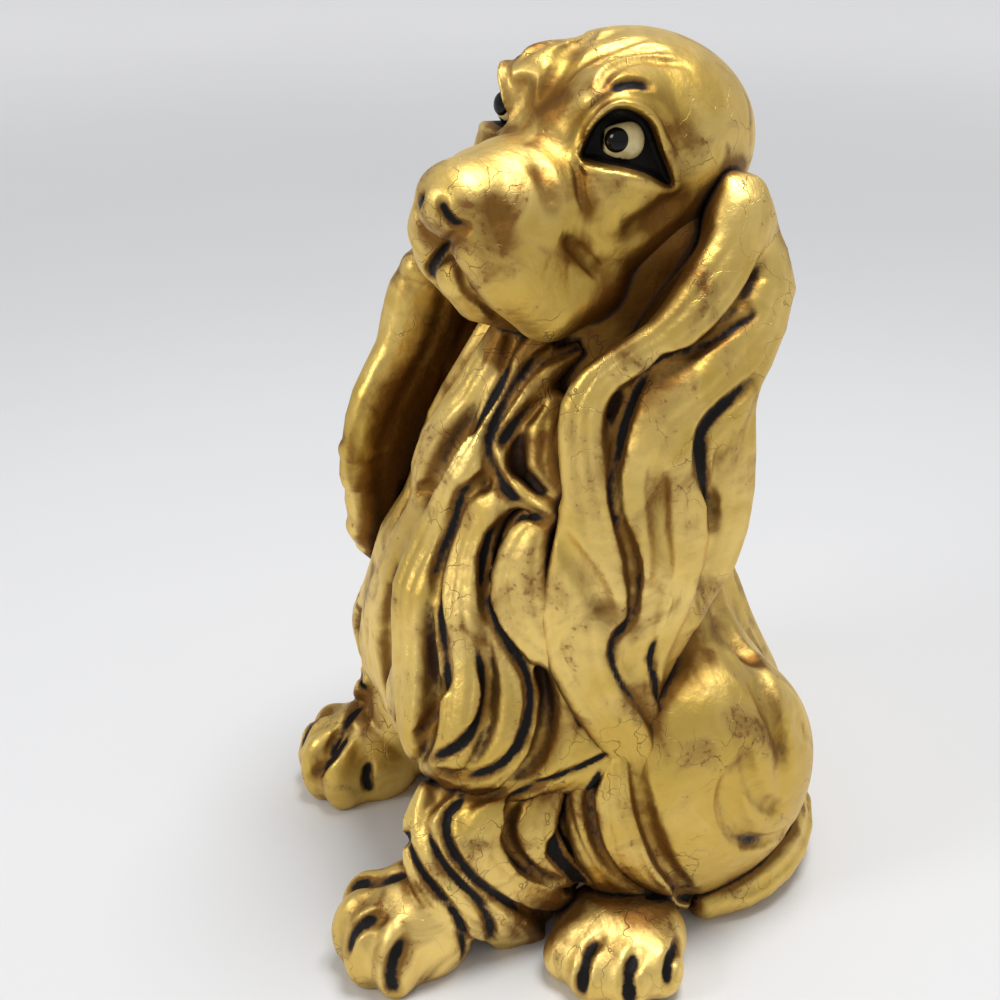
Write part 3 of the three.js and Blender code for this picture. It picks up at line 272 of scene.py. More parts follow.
def along_route(path, p):
    """For each point: distance to the path, its nearest piece, how far along that, the way out."""
    best = np.full(len(p), np.inf)
    piece = np.zeros(len(p), dtype=int)
    where = np.zeros(len(p))
    away = np.zeros((len(p), 3))
    for i in range(len(path) - 1):
        t, rel = nearest_on(path[i], path[i + 1], p)
        far = (rel * rel).sum(axis=1)
        nearer = far < best
        best = np.where(nearer, far, best)
        piece[nearer] = i
        where[nearer] = t[nearer]
        away[nearer] = rel[nearer]
    return np.sqrt(best), piece, where, away


def lock(ground, route, halves, thick=LOCK_RISE, lift=0):
    """A ribbon of hair along a route, with strands. halves: its half width along the route."""
    pieces = (len(route) - 1) * PIECES_PER_POINT
    spots = [ground(u, v) for u, v in route]
    path = smooth_route([point for point, _ in spots], pieces)
    normals = smooth_route([normal for _, normal in spots], pieces)
    half = np.interp(np.linspace(0, len(halves) - 1, pieces + 1), range(len(halves)), halves)
    rise = np.minimum(thick, 0.45 * half + 0.3 * thick)
    along = np.array([path[min(i + 1, pieces)] - path[max(i - 1, 0)] for i in range(pieces + 1)])
    across = np.array([unit(np.cross(a, n)) for a, n in zip(along, normals)])
    up = np.array([unit(np.cross(c, a)) for c, a in zip(across, along)])
    path = path + up * lift
    phase = path[0].sum()

    def d(p):
        reach, i, t, away = along_route(path, p)
        wide = half[i] + (half[i + 1] - half[i]) * t
        high = rise[i] + (rise[i + 1] - rise[i]) * t
        side = (away * (across[i] + (across[i + 1] - across[i]) * t[:, None])).sum(axis=1)
        rest = np.sqrt(np.maximum(reach * reach - side * side, 0))
        u = np.abs(side) / wide
        v = rest / high
        near = np.cbrt(u**3 + v**3)
        slope = np.hypot(u * u / wide, v * v / high) / np.maximum(near * near, 1e-6)
        dist = np.where(near < 0.05, -high, (near - 1) / np.maximum(slope, 1e-6))
        done = (i + t) / pieces
        ends = np.clip(4 * done, 0, 1) * np.clip(4 * (1 - done), 0, 1)
        fade = ends * np.clip(wide / FULL_STRAND_HALF, 0, 1)
        for n, strand in enumerate(STRANDS):
            centre = strand + SWAY * np.sin(SWAYS * done + phase + 2 * n)
            q = np.minimum(np.abs(side / wide - centre) / STRAND_WIDTH, 1)
            dist = dist + STRAND_DEPTH * fade * faded(q)
        return dist

    return Form(d, box_around(path, max(max(halves), thick)))


# A crease gets shallower over the last fifth at each end, down to a share of its depth
END_FADING = 5
END_DEPTH = 0.25


def crease(points, width, depth):
    """Sinks the surface along a route, deepest on it and fading at both ends."""
    pieces = (len(points) - 1) * PIECES_PER_POINT
    path = smooth_route(points, pieces)
    box = box_around(path, width)

    def sink(p):
        result = np.zeros(len(p))
        near = box_distance(box, p) <= 0
        if near.any():
            reach, i, t, _ = along_route(path, p[near])
            q = np.minimum(reach / width, 1)
            where = (i + t) / pieces
            fade = np.minimum(1, END_FADING * np.minimum(where, 1 - where))
            result[near] = depth * (fade * (1 - END_DEPTH) + END_DEPTH) * faded(q)
        return result

    return sink


def seen_through(view, sink):
    return lambda p: sink(view(p))


def sunk(form, creases):
    return Form(lambda p: form.d(p) + sum(sink(p) for sink in creases), form.box)


# A ray comes in towards this upright axis from outside the figure
AXIS_Y = 20
OUTSIDE = 170
INNERMOST = 4
RAY_STEPS = 80
RAY_CAUTION = 0.8
CLOSE_ENOUGH = 0.05
PROBE = 0.5


def ground_on(form, scale):
    """u is the angle from the front round to the dog's left in degrees, v the height over scale."""

    def ground(u, v):
        out = np.array([math.sin(math.radians(u)), -math.cos(math.radians(u)), 0])
        foot = np.array([0, AXIS_Y, v * scale])
        radius = OUTSIDE
        for _ in range(RAY_STEPS):
            gap = form.d((foot + out * radius)[None])[0]
            if gap < CLOSE_ENOUGH or radius < INNERMOST:
                break
            radius -= max(gap * RAY_CAUTION, CLOSE_ENOUGH)
        point = foot + out * radius
        steps = np.vstack([np.eye(3), -np.eye(3)]) * PROBE
        gaps = form.d(point + steps)
        return point, unit(gaps[:3] - gaps[3:])

    return ground


def crease_on(ground, route, width, depth):
    return crease([ground(u, v)[0] for u, v in route], width, depth)


NUDGE = 0.4
SETTLING_STEPS = 5


def settled(form, lines):
    """The lines with their points moved on to the form's surface."""
    points = np.array([spot for route, _, _ in lines for spot in route], dtype=float)
    nudges = np.vstack([np.zeros(3), np.eye(3), -np.eye(3)]) * NUDGE
    for _ in range(SETTLING_STEPS):
        gaps = form.d((points[:, None] + nudges).reshape(-1, 3)).reshape(-1, 7)
        slope = gaps[:, 1:4] - gaps[:, 4:]
        points -= gaps[:, :1] * slope / np.maximum(np.linalg.norm(slope, axis=1, keepdims=True), 1e-9)
    ends = np.cumsum([len(route) for route, _, _ in lines])[:-1]
    return [(route, *line[1:]) for route, line in zip(np.split(points, ends), lines)]


black_cuts = []


def bottom_of(width, depth):
    """How far a crease of this width and depth sinks the surface it is laid on."""
    sunk_by = np.linspace(0, width, 200)
    q = sunk_by / width
    return sunk_by[np.argmin(np.abs(depth * faded(q) - sunk_by))]


def cuts_on(form, lines, *views):
    """Creases along lines on a form. They are left black, as seen through each view given."""
    cuts = [crease(*line) for line in settled(form, lines)]
    for view in views:
        black_cuts.extend((cut, bottom_of(*line[1:]), view) for cut, line in zip(cuts, lines))
    return cuts


def blackness(p):
    """1 at the bottom of a cut, 0 beside it."""
    black = np.zeros(len(p))
    for cut, bottom, view in black_cuts:
        black = np.maximum(black, cut(view(p)) / bottom)
    return black


def flipped(route):
    return [(-u, v) for u, v in route]


# Torso: rump and haunches on the floor, back and belly, shoulders and neck stub

rump_radius = RUMP_WIDTH / 2
back_y = BODY_LENGTH * 0.58
chest_front = back_y - BODY_LENGTH
haunch_x = HAUNCH_SPREAD / 2
chest_radius = CHEST_WIDTH / 2
neck_radius = NECK_WIDTH / 2
NECK_STUB = 14

rump = ellipsoid([0, back_y - 60, 48], [rump_radius, 60, RUMP_HEIGHT - 48])
haunch = ellipsoid([haunch_x, 36, 58], [34, 56, 64], [0, 8, 0])
barrel = limb(
    [[0, 32, NECK_TOP - NECK_STUB], [0, 25, 220], [0, 13, 170], [0, 28, 110]],
    [neck_radius - 5, neck_radius, chest_radius - 8, rump_radius - 18],
)
shoulder = ellipsoid([36, -8, SHOULDER_HEIGHT], [27, 33, 50])
torso_base = join(22, rump, barrel, both_sides(haunch), both_sides(shoulder))
haunch_ground = ground_on(torso_base, RUMP_HEIGHT)
back_ground = ground_on(torso_base, NECK_TOP)

HAUNCH_LOCKS = [
    ([(66, 0.98), (62, 0.82), (61, 0.68), (62, 0.53), (66, 0.38), (74, 0.24), (84, 0.15), (96, 0.11)],
      [2.5, 5, 8, 9, 9, 9, 8, 4]),
    ([(76, 0.96), (73, 0.82), (72, 0.67), (75, 0.5), (80, 0.36), (87, 0.26), (94, 0.21)],
      [2.5, 5, 8, 9, 8, 6, 2]),
]
HAUNCH_DENTS = [
    ([(77, 0.82), (79, 0.64), (83, 0.46), (89, 0.3), (98, 0.14)], 6, 4),
    ([(101, 0.72), (100, 0.62), (103, 0.5), (108, 0.41)], 8, 6),
    ([(106, 0.42), (113, 0.36), (120, 0.33), (127, 0.31)], 5, 3),
    ([(104, 0.8), (106, 0.68), (110, 0.57), (117, 0.49)], 6, 3.5),
    ([(129, 1.06), (124, 1.0), (118, 0.965), (115, 0.9)], 9, 5),
    ([(129, 0.26), (123, 0.19), (116, 0.13)], 7, 4),
]
HAUNCH_HOLLOWS = [([(91, 44, 92), (92, 47, 76), (91, 54, 66), (89, 63, 59)], 4, 5)]
HAUNCH_GROOVES = [
    ([(92, 36, 84), (92, 35, 73), (91, 40, 58), (90, 49, 47), (86, 61, 41)], 5, 8),
    ([(79, -12, 90), (77, -13, 80), (78, -14, 70), (80, -12, 60), (83, -8, 50), (86, -1, 38),
      (89, 8, 27), (89, 16, 22)], 3.4, 5),
    ([(85, 3, 78), (87, 6, 62), (88, 10, 50), (88, 16, 34), (84, 26, 18), (84, 38, 8)], 3.4, 4.5),
    ([(87, 65, 78), (85, 62, 90), (81, 59, 100), (75, 58, 108)], 5, 4),
]
BACK_WAVES = range(112, 241, 16)
CAVITY_TOP = 190
CAVITY_ROOF_BLEND = 20
RIM_HEIGHT = 5


def back_wave(i, angle):
    sway = 5 if i % 2 == 0 else -5
    top = 0.88 - 0.05 * (i % 3)
    foot = 0.24 + 0.06 * (i % 2)
    route = [(angle + sway * math.cos(7 * t), top + (foot - top) * t) for t in np.linspace(0, 1, 5)]
    return crease_on(back_ground, route, 8, 4.5)


def cavity_distance(p):
    inside = torso_base.d(np.column_stack([p[:, :2], np.maximum(p[:, 2], RIM_HEIGHT)])) + WALL
    return np.maximum(-smooth_min(-inside, CAVITY_TOP - p[:, 2], CAVITY_ROOF_BLEND), -WALL - p[:, 2])


def torso_form():
    sides = (same, flipped)
    locks = [
        lock(haunch_ground, side(route), halves) for route, halves in HAUNCH_LOCKS for side in sides]
    dents = [
        crease_on(haunch_ground, side(route), *size) for route, *size in HAUNCH_DENTS for side in sides]
    waves = [back_wave(i, angle) for i, angle in enumerate(BACK_WAVES)]
    haired = join(SOFT_BLEND, torso_base, *locks)
    left_cuts = cuts_on(haired, HAUNCH_GROOVES, same, mirror) + cuts_on(haired, HAUNCH_HOLLOWS)
    right_cuts = [seen_through(mirror, cut) for cut in left_cuts]
    skin = sunk(haired, dents + waves + left_cuts + right_cuts)
    return Form(lambda p: np.maximum(skin.d(p), -cavity_distance(p)), skin.box)


# Head, in its own frame: origin between the eyes, nose towards -y, level

eye_x = EYE_SPACING / 2
eye_ball = EYEBALL_DIAMETER / 2
nose_y = -MUZZLE_LENGTH
skull = ellipsoid(
    [0, SKULL_LENGTH * 0.34, -9], [SKULL_WIDTH / 2, SKULL_LENGTH / 2, SKULL_DEPTH / 2], [-9, 0, 0])
brow = ellipsoid([EYE_SPACING * 0.36, 5, 12], [13, 15, 10], [0, 12, 0])
bridge = ellipsoid([0, -MUZZLE_LENGTH * 0.4, -16], [MUZZLE_WIDTH / 2, MUZZLE_LENGTH * 0.6, 16])
nose_pad = ellipsoid([0, nose_y + 11, -13], [NOSE_WIDTH / 2, 11, 10])
flew = limb(
    [[12, nose_y + 14, -28], [16, nose_y + 23, 27 - FLEW_DROP], [19, -27, 16 - FLEW_DROP],
     [20, -8, 19 - FLEW_DROP]],
    [11, 11.5, 14, 15])
lip = ellipsoid([13, -26, -30], [14, 28, 22])
cheek = ellipsoid([24, 8, -24], [15, 26, 24])
jaw = limb(
    [[0, nose_y + 14, -42], [0, nose_y + 23, -52], [0, -20, -61], [0, 12, -50]],
    [9, 10, 12, 16])
eye_bag = ellipsoid([eye_x, -2, -13], [11, 9, 8])
nape = limb([[0, 38, -22], [0, 39, -48]], [neck_radius - 8, neck_radius - 6])
paired = map(both_sides, (brow, flew, lip, cheek, eye_bag))
face = join(9, join(24, skull, nape), bridge, nose_pad, *paired)
head_base = join(2, face, jaw)

# The eye lies in a sunken almond: upright at the inner corner, drawn out at the outer one.
# Its outline stands square to the way the eye faces, (outwards, up) from the middle of the eye.
EYE_FACING = unit(np.array([0.7, -0.68, 0.2]))
EYE_OUTWARD = unit(np.array([0.68, 0.7, 0]))
EYE_UPWARD = np.cross(EYE_FACING, EYE_OUTWARD)
SOCKET_DEPTH = 5.0
SOCKET_EDGE = 2.0
LID_RISE = 1.9
ALMOND = [
    (-12.5, -5.4), (-10.8, 1), (-7.5, 7.5), (-2.5, 11.4), (3.5, 10.6),
    (9.5, 6.2), (13.6, -2.5), (18.6, -14.6), (8, -9.6), (-1, -7.2),
]


def smooth_loop(points, pieces):
    """A smooth closed outline in the plane."""
    points = np.array(points, dtype=float)
    padded = np.vstack([points[-3:], points, points[:3]])
    route = smooth_route(padded, (len(padded) - 1) * pieces)
    return route[3 * pieces : -3 * pieces + 1][: len(points) * pieces]


def loop_distance(loop, p):
    """Signed distance to a closed outline, negative inside."""
    best = np.full(len(p), np.inf)
    inside = np.zeros(len(p), dtype=bool)
    for a, b in zip(np.roll(loop, 1, axis=0), loop):
        _, away = nearest_on(a, b, p)
        best = np.minimum(best, (away * away).sum(axis=1))
        rise = b[1] - a[1] or 1e-9
        crosses = (a[1] > p[:, 1]) != (b[1] > p[:, 1])
        inside ^= crosses & (p[:, 0] < a[0] + (b[0] - a[0]) * (p[:, 1] - a[1]) / rise)
    return np.where(inside, -1, 1) * np.sqrt(best)


almond = smooth_loop(ALMOND, 4)
ALMOND_REACH = 25


def on_eye(p):
    """Outwards, up and forwards from the middle of the eye on that side."""
    return (side_of(p) - (eye_x, 0, 0)) @ np.column_stack([EYE_OUTWARD, EYE_UPWARD, EYE_FACING])


def almond_distance(p):
    spot = on_eye(p)
    out = np.full(len(p), float(ALMOND_REACH))
    near = (np.abs(spot[:, :2]).max(axis=1) < ALMOND_REACH) & (spot[:, 2] > -eye_ball)
    if near.any():
        out[near] = loop_distance(almond, spot[near, :2])
    return out


def lid_and_socket(p):
    out = almond_distance(p)
    sink = SOCKET_DEPTH * np.clip(0.5 - out / SOCKET_EDGE, 0, 1)
    q = np.clip(np.abs(out - LID_WIDTH / 2) / (LID_WIDTH / 2), 0, 1)
    rim = LID_RISE * np.clip(0.7 + 0.06 * on_eye(p)[:, 1], 0.4, 1)
    return sink - rim * faded(q)


# On both sides of the face. Painted creases are black at the bottom, the others only toned.
PAINTED_CREASES = [
    ([[22, -4, 17], [24, 1, 19], [26, 6, 19], [28, 10, 18]], 3.2, 5),
    ([[5, -65, -10], [5.5, -65, -12], [7, -64.5, -14], [9, -62.5, -16.5], [12, -60, -17.5]], 2.6, 6.5),
    ([[31, 8, 15], [35, 12, 8], [38, 15, -2]], 2.2, 2),
]
FACE_CREASES = [
    ([[16, -12, -3], [16, -12, 4], [19, -10, 10], [25, -3, 17], [30, 5, 16], [35, 12, 8],
      [40, 17, -8]], 3.4, 2.6),
    ([[18, -15, -5], [21, -16, -10], [24, -18, -16], [28, -17, -21]], 2.4, 2.4),
    ([[20, -7, 17], [17, 1, 21], [16, 13, 22], [19, 24, 22], [25, 33, 20]], 3.6, 2.6),
    ([[8, 1, 20], [9, 10, 23], [11, 22, 24], [16, 31, 23]], 3.6, 2.8),
    ([[12, -60, -17], [9, -60, -20], [4, -59, -25], [0, -56, -31]], 2.6, 2.6),
    ([[17, -50, -11], [20, -53, -18], [20, -54, -27], [19, -53, -36]], 8, 2.4),
    ([[25, -28, -27], [26, -22, -32], [28, -17, -38], [31, -14, -43]], 3.8, 4),
    ([[35, -9, -29], [37, -1, -26], [40, 7, -23], [41, 16, -20]], 8, 3),
    ([[13, -29, -2], [20, -31, -9], [23, -32, -16]], 6, 2),
]
# Not mirrored. The mouth is drawn down on the right, and the furrow between the brows leans there too
MOUTH = [
    ([[3, -59, -27], [0, -57, -30], [-4, -56, -34], [-8, -55, -38], [-12, -54, -44],
      [-15, -51, -50]], 2.8, 6),
]
FURROWS = [
    ([[2, -57, -30], [5, -57, -36], [6, -54, -43], [9, -49, -50], [10, -42, -58],
      [14, -35, -62]], 2.6, 3),
    ([[-5, -13, 3], [-2, -6, 9], [-3, 0, 14], [-5, 5, 20], [-8, 12, 23], [-6, 23, 25],
      [-4, 31, 26]], 5.5, 4),
    ([[2, -8, 9], [3, 2, 17], [4, 12, 23], [8, 28, 26]], 3.6, 2),
    ([[-8, -18, -1], [-12, -11, 7], [-15, -5, 14]], 8, 4),
]


def to_head(p):
    return (p - HEAD_ORIGIN) @ turned(HEAD_TURN)


def to_face(p):
    return side_of(to_head(p))


def head_form():
    both = cuts_on(head_base, PAINTED_CREASES, to_face) + cuts_on(head_base, FACE_CREASES)
    creases = [seen_through(side_of, cut) for cut in both]
    creases += cuts_on(head_base, MOUTH, to_head) + cuts_on(head_base, FURROWS)
    return placed(sunk(head_base, [lid_and_socket, *creases]), HEAD_ORIGIN, HEAD_TURN)


# Brown stains and painted shade, on the face and behind the cheeks: (route, reach, strength)
STAINS_AND_SHADE = [
    ([[32, -14, -30], [36, -1, -27], [40, 14, -20], [41, 24, -12]], 15, 1.1),
    ([[28, -20, -58], [36, 2, -54], [38, 22, -50], [36, 44, -46], [26, 64, -50]], 34, 1.6),
    ([[2, -18, 2], [3, -8, 10], [4, 4, 18], [8, 18, 25]], 12, 1.0),
    ([[18, -14, -5], [23, -17, -13], [30, -17, -24]], 9, 1.0),
    ([[23, -30, -24], [27, -22, -32], [33, -10, -44]], 11, 1.1),
    ([[13, -52, -6], [17, -50, -16], [19, -46, -34]], 10, 0.8),
    ([[18, -4, 20], [26, 8, 19], [36, 16, 10], [41, 20, -4]], 11, 0.9),
    ([[6, -57, -30], [10, -50, -42], [12, -38, -58]], 9, 0.9),
    ([[13, -30, -2], [21, -31, -10], [24, -34, -20]], 10, 0.7),
]
stains_and_shade = [crease(*stain_and_shade) for stain_and_shade in STAINS_AND_SHADE]


def stained_and_shaded(p):
    spot = to_face(p)
    return np.max([stain_and_shade(spot) for stain_and_shade in stains_and_shade], axis=0)


# Ears: locks laid on a curved sheet that hangs from the side of the skull.
# u runs back from the root in ear widths, v down in ear lengths.

EAR_MIDDLE = -0.28
# (route, half widths, thickness, lift off the sheet)
LEFT_SHEET = (
    [(0.02, 0.05), (-0.1, 0.19), (-0.24, 0.32), (-0.32, 0.45), (-0.38, 0.57), (-0.47, 0.7),
      (-0.49, 0.83), (-0.46, 0.94)],
    [9, 20, 28, 32, 30, 23, 13, 5], EAR_THICKNESS / 2, -14,
)
RIGHT_SHEET = (
    [(0.02, 0.05), (-0.12, 0.15), (-0.26, 0.24), (-0.38, 0.31), (-0.4, 0.38), (-0.44, 0.47),
      (-0.5, 0.57), (-0.54, 0.66), (-0.52, 0.75), (-0.54, 0.84), (-0.49, 0.92), (-0.44, 0.98)],
    [9, 18, 22, 27, 26, 27, 31, 31, 28, 22, 14, 6], EAR_THICKNESS / 3, -6,
)
EAR_LOCKS = [
    ([(0.01, 0.02), (-0.03, 0.07), (-0.08, 0.105), (-0.16, 0.14), (-0.25, 0.175), (-0.38, 0.215),
      (-0.51, 0.245), (-0.6, 0.277), (-0.65, 0.32), (-0.66, 0.38), (-0.65, 0.45), (-0.63, 0.52),
      (-0.61, 0.59), (-0.57, 0.66), (-0.55, 0.72)],
      [9, 9.5, 10.5, 10.5, 9.5, 7.5, 6.5, 7, 8, 8.5, 9, 9.5, 9, 6.5, 2.5], 8, 1),
    ([(0.1, 0.07), (0.13, 0.17), (-0.01, 0.25), (-0.19, 0.31), (-0.34, 0.36), (-0.39, 0.44),
      (-0.38, 0.53), (-0.39, 0.62), (-0.43, 0.7), (-0.46, 0.77), (-0.45, 0.84), (-0.41, 0.91)],
      [5, 12, 14, 15, 16, 17, 15, 12, 9, 7.5, 5.5, 2], 7, -2),
    ([(-0.03, 0.33), (-0.08, 0.4), (-0.1, 0.47), (-0.12, 0.54), (-0.17, 0.6), (-0.26, 0.66)],
      [5, 9, 9.5, 9, 7, 3], 7, -4),
    ([(-0.7, 0.49), (-0.7, 0.58), (-0.7, 0.66), (-0.67, 0.745), (-0.6, 0.83), (-0.51, 0.92),
      (-0.45, 1.03)], [4, 9, 13, 14, 13, 10, 3], 8, 2),
]
EAR_LINES = [
    ([(68, 53, 265), (56, 53, 259), (58, 45, 256), (58, 38, 252), (59, 26, 249), (64, 14, 249),
      (59, 9, 243), (60, 5, 236), (61, 1, 227), (63, -2, 217), (64, -5, 208), (68, -6, 200),
      (70, -4, 189), (72, 1, 180), (74, 2, 171), (74, 2, 160), (75, 0, 153), (75, -5, 148),
      (77, -8, 141), (80, -5, 130), (81, 1, 121), (79, 9, 106)], 3.2, 4.5),
    ([(79, 9, 145), (79, 7, 136), (79, 10, 125), (77, 15, 113)], 2.6, 4.5),
    ([(63, 51, 236), (68, 40, 232), (70, 32, 228), (72, 27, 223), (73, 26, 217), (75, 27, 207),
      (73, 31, 196), (73, 32, 186)], 4.5, 7),
    ([(65, -22, 185), (67, -20, 179), (70, -17, 172)], 2.6, 4),
]
EAR_VALLEYS = [
    ([(72, 8, 213), (74, 9, 200), (76, 10, 185), (78, 10, 174), (78, 8, 162), (78, 5, 151)], 6, 4),
    ([(65, -22, 184), (68, -19, 177), (71, -15, 170), (73, -12, 163), (74, -9, 156)], 6, 7),
    ([(76, -4, 190), (77, -1, 178), (77, 0, 168)], 4, 2),
]
EAR_GROOVES = [
    ([(-0.33, 0.36), (-0.4, 0.43), (-0.41, 0.51), (-0.37, 0.6), (-0.37, 0.67)], 6, 3),
    ([(-0.5, 0.24), (-0.66, 0.33), (-0.73, 0.45)], 4, 1),
]
RIGHT_LOCKS_BACK = 0.1
EAR_ROOT_BLEND = 8


def ear_sheet(side, root, spread, length, swing):
    def at(u, v):
        across = (u - EAR_MIDDLE) * EAR_WIDTH
        out = EAR_ROOT_OUT + (spread - EAR_ROOT_OUT) * (1 - math.exp(-v / 0.28))
        curl = across * across / (2 * EAR_CURL) * min(1, 4 * v)
        forward = v * length * math.tan(math.radians(swing))
        return np.array([side * (out - curl), root[1] + u * EAR_WIDTH - forward, root[2] - v * length])

    def ground(u, v):
        point = at(u, v)
        normal = unit(np.cross(at(u + 0.01, v) - point, at(u, v + 0.01) - point))
        return point, normal * math.copysign(1, normal[0] * side)

    return ground


def ear_form(side, sheet_lock, back, *shape):
    root = turned(HEAD_TURN) @ (side * 37, 45, -19) + HEAD_ORIGIN
    sheet = ear_sheet(side, root, *shape)

    def shifted(route):
        return [(u + back, v) for u, v in route]

    locks = [lock(sheet, shifted(route), *size) for route, *size in EAR_LOCKS]
    top = ellipsoid(sheet(0, 0.06)[0], [10, 12, 12])
    body = join(EAR_ROOT_BLEND, join(SOFT_BLEND, lock(sheet, *sheet_lock), *locks), top)
    dents = [crease_on(sheet, shifted(route), *size) for route, *size in EAR_GROOVES]
    left_only = cuts_on(body, EAR_LINES, same) + cuts_on(body, EAR_VALLEYS) if side > 0 else []
    return sunk(body, dents + left_only)


# Chest ruff: the mass of hair on throat and chest

RUFF_LOCKS = [
    ([(33, 0.87), (27, 0.83), (23, 0.79), (22, 0.74), (19, 0.685), (15, 0.63), (12, 0.575), (12, 0.52),
      (15, 0.46), (19, 0.4), (22, 0.35), (22, 0.315), (18, 0.285)],
      [4, 5, 5, 6, 7, 9, 10.5, 11, 10.5, 9.5, 8, 6, 3]),
    ([(37, 0.68), (30, 0.655), (26, 0.61), (26, 0.56), (28, 0.51), (31, 0.46), (34, 0.41), (35, 0.36),
      (32, 0.315), (26, 0.285)], [4, 7, 9, 9.5, 10.5, 10, 9, 8, 6.5, 3]),
    ([(36, 0.54), (42, 0.48), (46, 0.42), (46, 0.36), (42, 0.315), (35, 0.28), (28, 0.265)],
      [3, 6, 8, 8, 7, 6, 3]),
    ([(49, 0.665), (45, 0.63), (44, 0.58), (47, 0.53), (53, 0.49), (57, 0.46)], [5, 9, 12, 13, 10, 4]),
    ([(72, 0.55), (72, 0.47), (70, 0.39), (67, 0.33), (60, 0.285), (52, 0.26)], [5, 9, 10, 10, 8, 3]),
    ([(54, 0.47), (60, 0.42), (62, 0.37), (60, 0.325), (53, 0.29), (44, 0.267), (34, 0.245)],
      [4, 9, 11, 11, 9, 7, 3]),
    ([(50, 0.855), (39, 0.83), (33, 0.795), (29, 0.755), (28, 0.725), (32, 0.695), (40, 0.68),
      (50, 0.665)], [3, 5, 4, 4, 4, 3.6, 3.2, 2]),
    ([(44, 0.79), (43, 0.755), (45, 0.72), (53, 0.69)], [4, 8, 8, 4]),
]
FRONT_LOCKS = [
    ([(13, 0.87), (12, 0.83), (9, 0.79), (5, 0.75), (2, 0.72)], [5, 7, 7.5, 7, 4]),
    ([(7, 0.76), (3, 0.71), (-2, 0.66), (-5, 0.6)], [5, 8, 8, 4]),
    ([(-12, 0.885), (-14, 0.8), (-19, 0.72), (-25, 0.65), (-27, 0.58)], [6, 9, 10, 9, 4]),
    ([(-36, 0.885), (-38, 0.8), (-42, 0.72), (-48, 0.65)], [6, 9, 9, 5]),
    ([(3, 0.62), (-3, 0.54), (-6, 0.46), (-5, 0.38), (0, 0.31), (6, 0.27)], [6, 10, 11, 11, 9, 3]),
    ([(-13, 0.46), (-14, 0.39), (-12, 0.32), (-6, 0.265)], [4, 9, 9, 4]),
    ([(13, 0.42), (12, 0.36), (9, 0.305), (3, 0.26)], [4, 8, 8, 4]),
]
RUFF_GROOVES = [
    ([(18, -26, 246), (25, -33, 235), (26, -38, 228), (24, -44, 220), (18, -49, 209), (17, -55, 199),
      (14, -59, 192), (5, -62, 183)], 3.6, 6),
    ([(33, 3, 248), (31, -6, 244), (28, -17, 240), (28, -27, 233), (29, -34, 226), (30, -39, 218),
      (32, -41, 209), (36, -40, 201), (43, -35, 194), (49, -30, 190), (56, -24, 188)], 4, 6.5),
    ([(32, -21, 225), (33, -27, 220), (33, -33, 215), (33, -37, 210)], 4, 6),
    ([(36, -42, 201), (31, -51, 191), (28, -58, 180), (29, -61, 160), (41, -65, 142), (49, -65, 127),
      (47, -69, 108), (46, -75, 98)], 4, 7),
    ([(54, -25, 189), (44, -32, 186), (41, -42, 178), (43, -45, 161), (52, -45, 147), (59, -39, 137),
      (63, -35, 128), (68, -36, 118), (72, -42, 104), (71, -50, 96), (66, -60, 90),
      (57, -69, 89)], 3.6, 6),
    ([(52, -52, 138), (55, -51, 121), (61, -54, 112), (62, -63, 103), (55, -72, 94)], 3.4, 5.5),
]
FRONT_RISE = 4.5
# The locks on the right mirror those on the left, turned by degrees and lifted by v and millimetres
RIGHT_TURN = 5
RIGHT_RISE = 0.012
RIGHT_LIFT = 3.4
MIRRORED_LOCKS = 5
LEFT_ONLY_GROOVES = 3


def on_right(route):
    """Points mirrored to the dog's right, turned and lifted as the locks there are."""
    turn = turned((0, 0, -RIGHT_TURN))
    return [turn @ (-x, y - AXIS_Y, z) + (0, AXIS_Y, RIGHT_LIFT) for x, y, z in route]


def ruff_form():
    base = join(
        18,
        ellipsoid([0, chest_front + 50, 122], [chest_radius - 3, 44, 58]),
        ellipsoid([0, chest_front + 54, 96], [chest_radius + 9, 46, 41]),
        both_sides(ellipsoid([36, chest_front + 35, 92], [28, 29, 27])),
        limb([[7, -8, 246], [3, -20, 190]], [18, 35]),
    )
    ground = ground_on(join(14, base, torso_base), NECK_TOP)
    right_locks = [
        ([(-u - RIGHT_TURN, v + RIGHT_RISE) for u, v in route], halves)
        for route, halves in RUFF_LOCKS[:MIRRORED_LOCKS]
    ]
    locks = [lock(ground, route, halves) for route, halves in RUFF_LOCKS + right_locks]
    locks += [lock(ground, route, halves, FRONT_RISE) for route, halves in FRONT_LOCKS]
    right_grooves = [(on_right(route), *size) for route, *size in RUFF_GROOVES[LEFT_ONLY_GROOVES:]]
    haired = join(SOFT_BLEND, bedded(base), *locks)
    return sunk(haired, cuts_on(haired, RUFF_GROOVES + right_grooves, same))


# Foreleg, left: paw with four toes, leg and the feathering behind it

TOE_ANGLES = [-62, -20, 20, 62]
TOE_BLEND = 4.5
LEG_GROOVES = [
    ([(55, -84, 63), (61, -83, 58), (68, -81, 52), (75, -76, 44), (77, -70, 34), (77, -67, 22),
      (73, -65, 5)], 3, 4),
    ([(65, -78, 68), (72, -74, 58), (77, -68, 49), (78, -61, 38), (76, -56, 26),
      (74, -54, 8)], 3.2, 4.5),
    ([(70, -99, 37), (68, -106, 33), (67, -110, 28), (68, -112, 20)], 4.6, 8),
    ([(80, -91, 31), (83, -97, 24), (84, -99, 15), (84, -97, 4)], 4.4, 8),
    ([(58, -84, 45), (54, -92, 40), (48, -99, 36), (43, -104, 28)], 4, 6),
    ([(57, -80, 62), (52, -86, 54), (46, -88, 48)], 3.6, 5),
]
